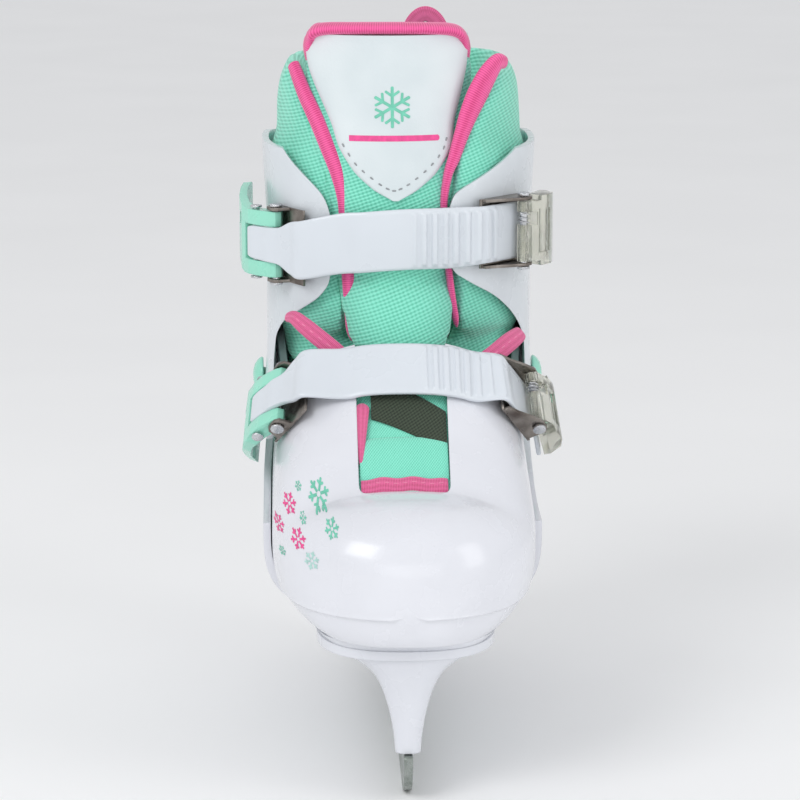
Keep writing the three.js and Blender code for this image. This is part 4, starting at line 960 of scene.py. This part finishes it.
# %% [markdown]
# ## Pink tapes and piping
# Ribbed pink tape binds the tongue's top and the collar's two front edges. A tape is a flattened tube
# swept along its edge, and its ribs run across it, so they follow the way along the sweep.

# %% Sweep a tape along an edge
def sweep(name, path, outward, steps=90, sides=24, squareness=1.0):
    """path rows are [way, x, y, z, half width, half thickness], outward gives the way off the surface."""
    rings = []
    for k in range(steps + 1):
        t = lerp(path[0][0], path[-1][0], k / steps)
        x, y, z, half, thick = table_at(path, t)
        e = (path[-1][0] - path[0][0]) / steps / 2
        a, b = table_at(path, t - e), table_at(path, t + e)
        along = (Vector(b[:3]) - Vector(a[:3])).normalized()
        out = Vector(outward(x, y, z))
        out = (out - along * out.dot(along)).normalized()
        side = along.cross(out)
        close = min(1, (min(k, steps - k) + 0.3) / 3) ** 0.5
        rings.append([list(Vector((x, y, z)) + side * spow(math.cos(q), squareness) * half * close
                           + out * spow(math.sin(q), squareness) * thick * close)
                      for q in (2 * math.pi * i / sides for i in range(sides))])
    return shade(loft(name, rings), 80)

def numbered(points):
    return [[k, *p] for k, p in enumerate(points)]

def oval_y(x, inset):
    u = min(0.96, abs((x - CUFF_X) / (CUFF_A - inset)))
    return CUFF_Y - (CUFF_B - inset) * (1 - u**2.5) ** 0.4

def oval_out(x, y, z):
    nx = math.copysign(abs((x - CUFF_X) / CUFF_A) ** 1.5, x - CUFF_X) / CUFF_A
    ny = math.copysign(abs((y - CUFF_Y) / CUFF_B) ** 1.5, y - CUFF_Y) / CUFF_B
    return (nx, ny, 0.001)

piping_path = numbered([(-33.6, 4.2, 259, 1.6, 4), (-33.8, 2, 265.2, 2.4, 5),
                        (-32.2, 0, 269.8, 2.5, 5.4), (-28.5, -3, 272, 2.5, 5.6),
                        (-16, -6.5, 272.6, 2.4, 5.6), (-3, -7.5, 272.7, 2.4, 5.6),
                        (10, -6.8, 272.5, 2.4, 5.6), (20, -3.6, 271.7, 2.5, 5.6),
                        (24, -0.6, 269.4, 2.5, 5.4), (25.8, 2, 264.8, 2.4, 5),
                        (26.2, 4.2, 259, 1.6, 4)])
piping = sweep("tongue_piping_tape", piping_path, lambda x, y, z: (0, -1, 0), 140)
dress(piping, PINK_RIB, "cuff", "pink_fabric", "tongue_piping")

LEFT_EDGE = [(-40.2, 258.4, 2.6), (-38.6, 254.5, 3.2), (-35.8, 247.4, 3.4), (-31.4, 238.1, 3.4),
             (-27.3, 228.3, 3.3), (-23.5, 218.8, 3.2), (-21.6, 210.8, 2.9), (-20.7, 202.2, 2.7),
             (-19.4, 176.3, 2.5), (-17.8, 153, 2.3)]
RIGHT_EDGE = [(41.5, 258.5, 2.4), (38.2, 259.2, 3.4), (34.2, 254.6, 4.5), (30.3, 247.8, 4.6),
              (26.9, 240.5, 3.9), (24, 232.6, 3), (21.2, 224, 2.4), (18.5, 216, 1.7),
              (17.2, 202, 1.4), (19.8, 176, 1.3), (22.4, 158, 1.3)]
for word, edge in (("left", LEFT_EDGE), ("right", RIGHT_EDGE)):
    rows = numbered([(x, oval_y(x, 4.6), z, half, 2.2) for x, z, half in edge])
    tape = sweep(f"collar_binding_{word}_tape", rows, oval_out, 120)
    dress(tape, PINK_RIB, "cuff", "pink_fabric", f"collar_binding_{word}")

# %% The diagonal tapes over the instep, with their stitches
DIAGONAL = {"left": [(-43.6, -12.5, 161.6, 1.6), (-40.6, -16.5, 162.6, 2.6), (-36.5, -21.5, 160.2, 3.2),
                     (-30.5, -27.5, 156.2, 3.4), (-24.5, -32, 152.2, 3.2), (-19.6, -35, 149, 2.6)],
            "right": [(26.2, -32, 143.6, 2.6), (31, -28.5, 146.4, 3.3), (36.5, -23.5, 149, 3.6),
                      (42, -17.5, 152, 3.7), (46.4, -11.5, 154, 3.2), (48, -8.5, 154.6, 2.4)]}
for word, rows in DIAGONAL.items():
    line = numbered([(x, y, z, half, 1.1) for x, y, z, half in rows])
    out = lambda x, y, z: (math.copysign(0.35, x), -0.8, 0.45)
    tape = sweep(f"vamp_binding_{word}_tape", line, out, 60, 24, 0.8)
    dress(tape, PINK_TAPE, "toe", "pink_fabric", f"vamp_binding_{word}")
    dashes = []
    for k in range(9):
        t = lerp(0.5, len(line) - 1.4, k / 8)
        here, ahead = table_at(line, t), table_at(line, t + 0.1)
        off = Vector(out(*here[:3])).normalized()
        dashes.append((list(Vector(here[:3]) + off * 1.15), Vector(ahead[:3]) - Vector(here[:3]), off))
    beads(f"vamp_binding_{word}_stitches", dashes, (2.3, 0.6, 0.5), PINK_THREAD, "toe", "pink_fabric")

# %% The pull loop at the back of the collar
loop_rows = [(15 + 8.5 * math.cos(a), 100.8, 250 + 18 * math.sin(a), 3.2, 1.0)
             for a in (math.pi * k / 12 for k in range(13))]
pull_loop = sweep("pull_loop_tape", numbered(loop_rows), lambda x, y, z: (0, 1, 0), 60, 24, 0.6)
dress(pull_loop, PINK_TAPE, "cuff", "pink_fabric", "pull_loop")

# %% [markdown]
# ## Inside the toe window
# Through the window in the toe shell a dark stretch gusset, a puffed mint panel and a stitched pink hem
# show. The gusset's near-black is partly its own dark knit and partly painted shade down in the window.
# Each is a narrow strip that follows the toe's own curve a little below it.

# %% Strips across the window
def on_toe(x, y, under_by):
    a = toe_half_width(y) - under_by
    up = toe_top(y) - toe_mid(y) - under_by
    return toe_mid(y) + up * (1 - min(0.98, abs(x / a)) ** 2.35) ** (1 / 2.35)

WAVE_TURN = 0.55  # radians of the hem's waviness for each millimetre across

def window_strip(name, centre, half_long, x0, x1, under_by, thick, slope, wave=0.0):
    """A soft strip across the window from x0 to x1, its middle line at y = centre(x)."""
    rings = []
    for k in range(41):
        x = lerp(x0, x1, k / 40)
        y0 = centre + slope * (x - (x0 + x1) / 2) + wave * math.sin(x * WAVE_TURN)
        ring = []
        for i in range(24):
            a = 2 * math.pi * i / 24
            y = y0 + half_long * spow(math.cos(a), 0.8)
            ring.append([x, y, on_toe(x, y, under_by) + thick * spow(math.sin(a), 0.9)])
        rings.append(ring)
    return shade(loft(name, rings), 80)

HEM_Y, HEM_WAVE = -89.4, 0.35
hem = window_strip("vamp_hem_tape", HEM_Y, 3.0, -16.4, 15.6, 2.9, 1.1, 0.0, HEM_WAVE)
dress(hem, PINK_TAPE, "toe", "pink_fabric", "vamp_hem")
# The gusset's near-black is painted shade in the window as well as its own dark knit.
gusset = window_strip("vamp_gusset_knit_and_shade", -62.5, 7.5, -12, 16, 2.6, 1.0, -0.42)
dress(gusset, DARK_KNIT_AND_SHADE, "toe", "dark_knit", "vamp_gusset")
puff = window_strip("vamp_puff_pad", -78.8, 8.0, -16.6, 16, 3.6, 2.4, 0.0)
cloth_piece(puff, MINT_SMOOTH, "mint_fabric", body="toe", fill=0.9)
edge_tape = numbered([(-15.5, -59, on_toe(-15.5, -59, 2) + 0.6, 3.2, 0.9),
                      (-15.8, -66, on_toe(-15.8, -66, 2) + 0.6, 2.6, 0.9),
                      (-16, -74, on_toe(-16, -74, 2) + 0.5, 1.6, 0.8),
                      (-16.2, -82, on_toe(-16.2, -82, 2), 0.7, 0.6)])
side_tape = sweep("vamp_side_tape", edge_tape, lambda x, y, z: (-0.2, -0.5, 0.9), 30, 20)
dress(side_tape, PINK_TAPE, "toe", "pink_fabric")
hem_dashes = []
for k in range(9):
    x = lerp(-13.5, 13, k / 8)
    y = HEM_Y + HEM_WAVE * math.sin(x * WAVE_TURN)
    hem_dashes.append(([x, y, on_toe(x, y, 2.9) + 1.15], (1, 0, 0), (0, -0.5, 0.85)))
beads("vamp_hem_stitches", hem_dashes, (1.9, 0.5, 0.45), PINK_THREAD, "toe", "pink_fabric")

# %% [markdown]
# ## Straps, levers and receivers
# Each strap is one moulded ribbon. It loops over the mint cam lever's pin on the wearer's outer side,
# crosses the front, and its teeth run into a steel receiver with a smoky clear release lever. Both
# buckles use one set of parts, placed by a small frame of three directions: along the strap, across it,
# and out from the shell.

# %% Where the buckles sit
def place_frame(at, along, out):
    t, n = Vector(along).normalized(), Vector(out).normalized()
    w = n.cross(t).normalized()
    return (Vector(at), t, w, n)

def local(place, v):
    at, t, w, n = place
    return at + t * v[0] + w * v[1] + n * v[2]

def local_way(place, v):
    return (local(place, v) - place[0]).normalized()

def on_cuff(x, z):
    y = oval_y(x, 0)
    out = Vector(oval_out(x, y, z))
    out.z = 0
    return Vector((x, y, z)), out.normalized()

def inside_toe(p):
    x, y, z = p
    a, mid = toe_half_width(y), toe_mid(y)
    if z >= mid:
        return abs(x / a) ** 2.35 + abs((z - mid) / (toe_top(y) - mid)) ** 2.35 < 1
    return abs(x / a) ** 3.2 + abs((mid - z) / toe_drop(y)) ** 3.2 < 1

DOWN, ACROSS = Vector((0, 0.66, -0.7513)), Vector((0, 0.7513, 0.66))

def strap_hit(angle, shift=0.0):
    start = Vector((0, -51, toe_top(-51))) + DOWN * 46 + ACROSS * shift
    ray = lambda a: Vector((math.sin(a), 0, 0)) - DOWN * math.cos(a)
    found = []
    for a in (angle, angle - 0.01, angle + 0.01):
        low, high = 0.0, 120.0
        for _ in range(40):
            mid = (low + high) / 2
            low, high = (mid, high) if inside_toe(start + ray(a) * mid) else (low, mid)
        found.append(start + ray(a) * low)
    along = (found[2] - found[1]).normalized()
    return found[0], along.cross(ACROSS).normalized(), along

def seat_on_toe(angle):
    middle, _, along = strap_hit(angle)
    edge = (strap_hit(angle, 9)[0] - strap_hit(angle, -9)[0]).normalized()
    out = along.cross(edge).normalized()
    along = (along - out * along.dot(out)).normalized()
    return middle, out, along

left_hit, left_out = on_cuff(-43, 189)
right_hit, right_out = on_cuff(40, 195)
UPPER_LEVER = place_frame(left_hit + left_out * 4.8, (left_out.y, -left_out.x, 0), left_out)
UPPER_RECEIVER = place_frame(right_hit + right_out * 4.6, (-right_out.y, right_out.x, 0), right_out)
p, out, along = seat_on_toe(-0.98)
LOWER_LEVER = place_frame(p + out * 5.5, -along, out)
p, out, along = seat_on_toe(1.0)
LOWER_RECEIVER = place_frame(p + out * 5.5, along, out)
print("upper lever pin at", [round(v, 1) for v in UPPER_LEVER[0]], "lower",
      [round(v, 1) for v in LOWER_LEVER[0]])

# %% The ladder straps
def across_of(place, reference):
    edge = place[2].copy()
    return -edge if edge.dot(Vector(reference)) < 0 else edge

def strap_rows(lever, receiver, path, across):
    """Stations along the strap: centre, way out, way across, half width, inner and outer height."""
    rows = []
    own = across_of(lever, across)
    for v, n, half, low, high in (((13.2, 0, 3.4), (0.5, 0, 1), 4.2, -1.2, 1.2),
                                  ((11.8, 0, 3.1), (0.25, 0, 1), 6.0, -2.4, 2.5),
                                  ((8.6, 0, 3.0), (-0.1, 0, 1), 6.6, -2.1, 2.5),
                                  ((4.5, 0, 3.2), (-0.1, 0, 1), 6.7, -1, 1.6),
                                  ((0, 0, 2.9), (-0.2, 0, 1), 6.8, -1, 1.4),
                                  ((-5.4, 0, 1.2), (-0.25, 0, 1), 7.4, -1, 1.3),
                                  ((-12, 0, 0.2), (-0.12, 0, 1), 10.2, -1, 1.2),
                                  ((-18, 0, -1.3), (-0.16, 0, 1), 11.4, -1, 1.2)):
        rows.append((local(lever, v), local_way(lever, n), own, half, low, high))
    rows += path
    own = across_of(receiver, across)
    for t, n, slope in ((-15.5, -2.7, -0.1), (-8, -2.2, 0), (0, -2.2, 0), (8, -2.3, 0.05), (14, -3.3, 0.2),
                        (22, -6.2, 0.4)):
        rows.append((local(receiver, (t, 0, n)), local_way(receiver, (slope, 0, 1)), own, 11.1, 0, 1.9))
    return rows

TOOTH_PITCH, TOOTH_HEIGHT = 4.0, 0.95

def strap(name, rows, toothed):
    """Skins a strap through its stations. toothed is the range of stations that has teeth."""
    table = [[k, *r[0], *r[1], *r[2], r[3], r[4], r[5]] for k, r in enumerate(rows)]
    spots, way = [], [0.0]
    for k in range((len(rows) - 1) * 40 + 1):
        spots.append(table_at(table, k / 40))
        if k:
            way.append(way[-1] + (Vector(spots[-1][:3]) - Vector(spots[-2][:3])).length)
    start, end = way[toothed[0] * 40], way[min(len(way) - 1, toothed[1] * 40)]
    rings, last = [], -9
    for spot, s in zip(spots, way):
        if s - last < 0.33:
            continue
        last = s
        p, n, w = Vector(spot[:3]), Vector(spot[3:6]).normalized(), Vector(spot[6:9]).normalized()
        half, low, high = spot[9:12]
        tooth = 0.0
        if start < s < end:
            phase = (s - start) / TOOTH_PITCH % 1
            tooth = TOOTH_HEIGHT * smooth(phase / 0.14) * smooth((0.66 - phase) / 0.16)
            tooth *= smooth((s - start) / 3)
        ring = []
        for a, b in ((-1, .3), (-.97, .08), (-.9, 0), (-.45, 0), (0, 0), (.45, 0), (.9, 0), (.97, .08),
                     (1, .3),
                     (1, .7), (.975, .92), (.9, 1), (.84, 1), (.8, 1), (.4, 1), (0, 1), (-.4, 1), (-.8, 1),
                     (-.84, 1), (-.9, 1), (-.975, .92), (-1, .7)):
            grow = tooth if b == 1 and abs(a) <= 0.81 else (tooth * 0.85 if b == 1 and abs(a) < 0.87 else 0)
            ring.append(list(p + w * half * a + n * (low + (high - low) * b + grow)))
        rings.append(ring)
    return shade(loft(name, rings), 50)

upper_path = []
for x in (-22, -14, -5, 4, 14, 22):
    p, out = on_cuff(x, 0)
    p.z = lerp(190, 195, clamp01((x + 46) / 92)) + 1.2 * math.exp(-(x / 22) ** 2)
    upper_path.append((p + out * 1.1, out, Vector((0, 0, 1)), 11.7, 0, 2))
upper_rows = strap_rows(UPPER_LEVER, UPPER_RECEIVER, upper_path, (0, 0, 1))
upper_strap = strap("upper_strap_ladder", upper_rows, (11, 15))
upper_strap.data.materials.append(STRAP_WHITE)
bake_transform(upper_strap)
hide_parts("upper_strap")

lower_path = []
for a in (-0.46, -0.3, -0.15, 0.0, 0.15, 0.3, 0.44, 0.58):
    p, out, along = strap_hit(a)
    lower_path.append((p + out * 1.4, out, ACROSS, 11.7, 0, 2))
lower_rows = strap_rows(LOWER_LEVER, LOWER_RECEIVER, lower_path, ACROSS)
lower_strap = strap("lower_strap_ladder", lower_rows, (12, 16))
lower_strap.data.materials.append(STRAP_WHITE)
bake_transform(lower_strap)
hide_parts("lower_strap")
print("straps", len(upper_strap.data.polygons), len(lower_strap.data.polygons), "faces")

# %% [markdown]
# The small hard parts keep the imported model's own shape, because it is already right. Each is copied, and
# its edges are rounded by a fraction of a millimetre so that they catch the light as pressed or moulded
# edges do.

# %% Round copies of the small hard parts
def polished(node_name, material, slot, width, angle=28):
    obj = from_node(node_name, node_name + "_finished")
    flat = obj.modifiers.new("flat faces", "DECIMATE")
    flat.decimate_type = "DISSOLVE"
    flat.angle_limit = math.radians(1.5)
    settle(obj)
    edge = obj.modifiers.new("round", "BEVEL")
    edge.width, edge.segments = width * 0.001, 3
    edge.limit_method, edge.angle_limit = "ANGLE", math.radians(angle)
    settle(obj)
    shade(obj, 42)
    return dress(obj, material, frame["nodes"][node_name]["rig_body"], slot, node_name)

for word in ("upper", "lower"):
    polished(f"{word}_lever", MINT_PLASTIC, "mint_plastic", 0.7, 8)
    polished(f"{word}_lever_base", DARK_STEEL, "dark_steel", 0.2)
    polished(f"{word}_receiver", DARK_STEEL, "dark_steel", 0.2)
    polished(f"{word}_release", SMOKY_CLEAR, "clear_plastic", 0.5)
    for part in ("lever_rivet", "lever_pin", "strap_pin", "receiver_rivet", "release_pin",
                 "release_spring"):
        polished(f"{word}_{part}", BRIGHT_STEEL, "bright_steel", 0.12)
for part in ("blade_rivet_front", "blade_rivet_rear", "sole_screw_1", "sole_screw_2", "sole_screw_3",
             "sole_screw_4"):
    polished(part, BRIGHT_STEEL, "bright_steel", 0.2)
polished("size_knob", MINT_PLASTIC, "mint_plastic", 0.6)
polished("size_lock_plate", DARK_STEEL, "dark_steel", 0.2)

# %% [markdown]
# ## Printed flakes on the toe
# Small six-armed flakes are printed on the outer side of the toe shell in mint and pink. Each is drawn as
# strokes in a flat plane, and every corner is dropped onto the toe's surface.

# %% Print the flakes
def toe_point(x, z, lift):
    low, high = TIP_Y + 0.1, -16.0
    for _ in range(34):
        mid = (low + high) / 2
        low, high = (low, mid) if inside_toe((x, mid, z)) else (mid, high)
    y = (low + high) / 2
    e = 0.4
    def field(q):
        a, mid = toe_half_width(q[1]), toe_mid(q[1])
        n, tall = (2.35, toe_top(q[1]) - mid) if q[2] >= mid else (3.2, toe_drop(q[1]))
        return abs(q[0] / a) ** n + abs((q[2] - mid) / tall) ** n
    here = (x, y, z)
    out = Vector([field([c + (e if k == j else 0) for k, c in enumerate(here)])
                  - field([c - (e if k == j else 0) for k, c in enumerate(here)])
                  for j in range(3)]).normalized()
    return list(Vector(here) + out * lift)

FLAKES = [("a", -32, 110.4, 4.6, MINT_PRINT), ("b", -42.7, 105.8, 3.0, PINK_PRINT),
          ("c", -39.4, 111.4, 1.5, MINT_PRINT), ("d", -37.8, 103.6, 1.5, MINT_PRINT),
          ("e", -27.5, 103.4, 3.1, MINT_PRINT), ("f", -39.6, 97.6, 3.3, PINK_PRINT),
          ("g", -34.8, 92, 3.2, PALE_PRINT), ("h", -46.6, 98.6, 2.4, PINK_PRINT),
          ("i", -45.4, 91, 1.6, MINT_PRINT)]
for letter, x, z, radius, paint in FLAKES:
    print_on(f"toe_flake_{letter}", crystal(radius, 0.3, 0.18, 0.1, 0.62, 0.3, 0.09, 60),
             lambda u, v, up: toe_point(x + u * 0.8, z + v, up), paint, "toe", "white_shell", INK)
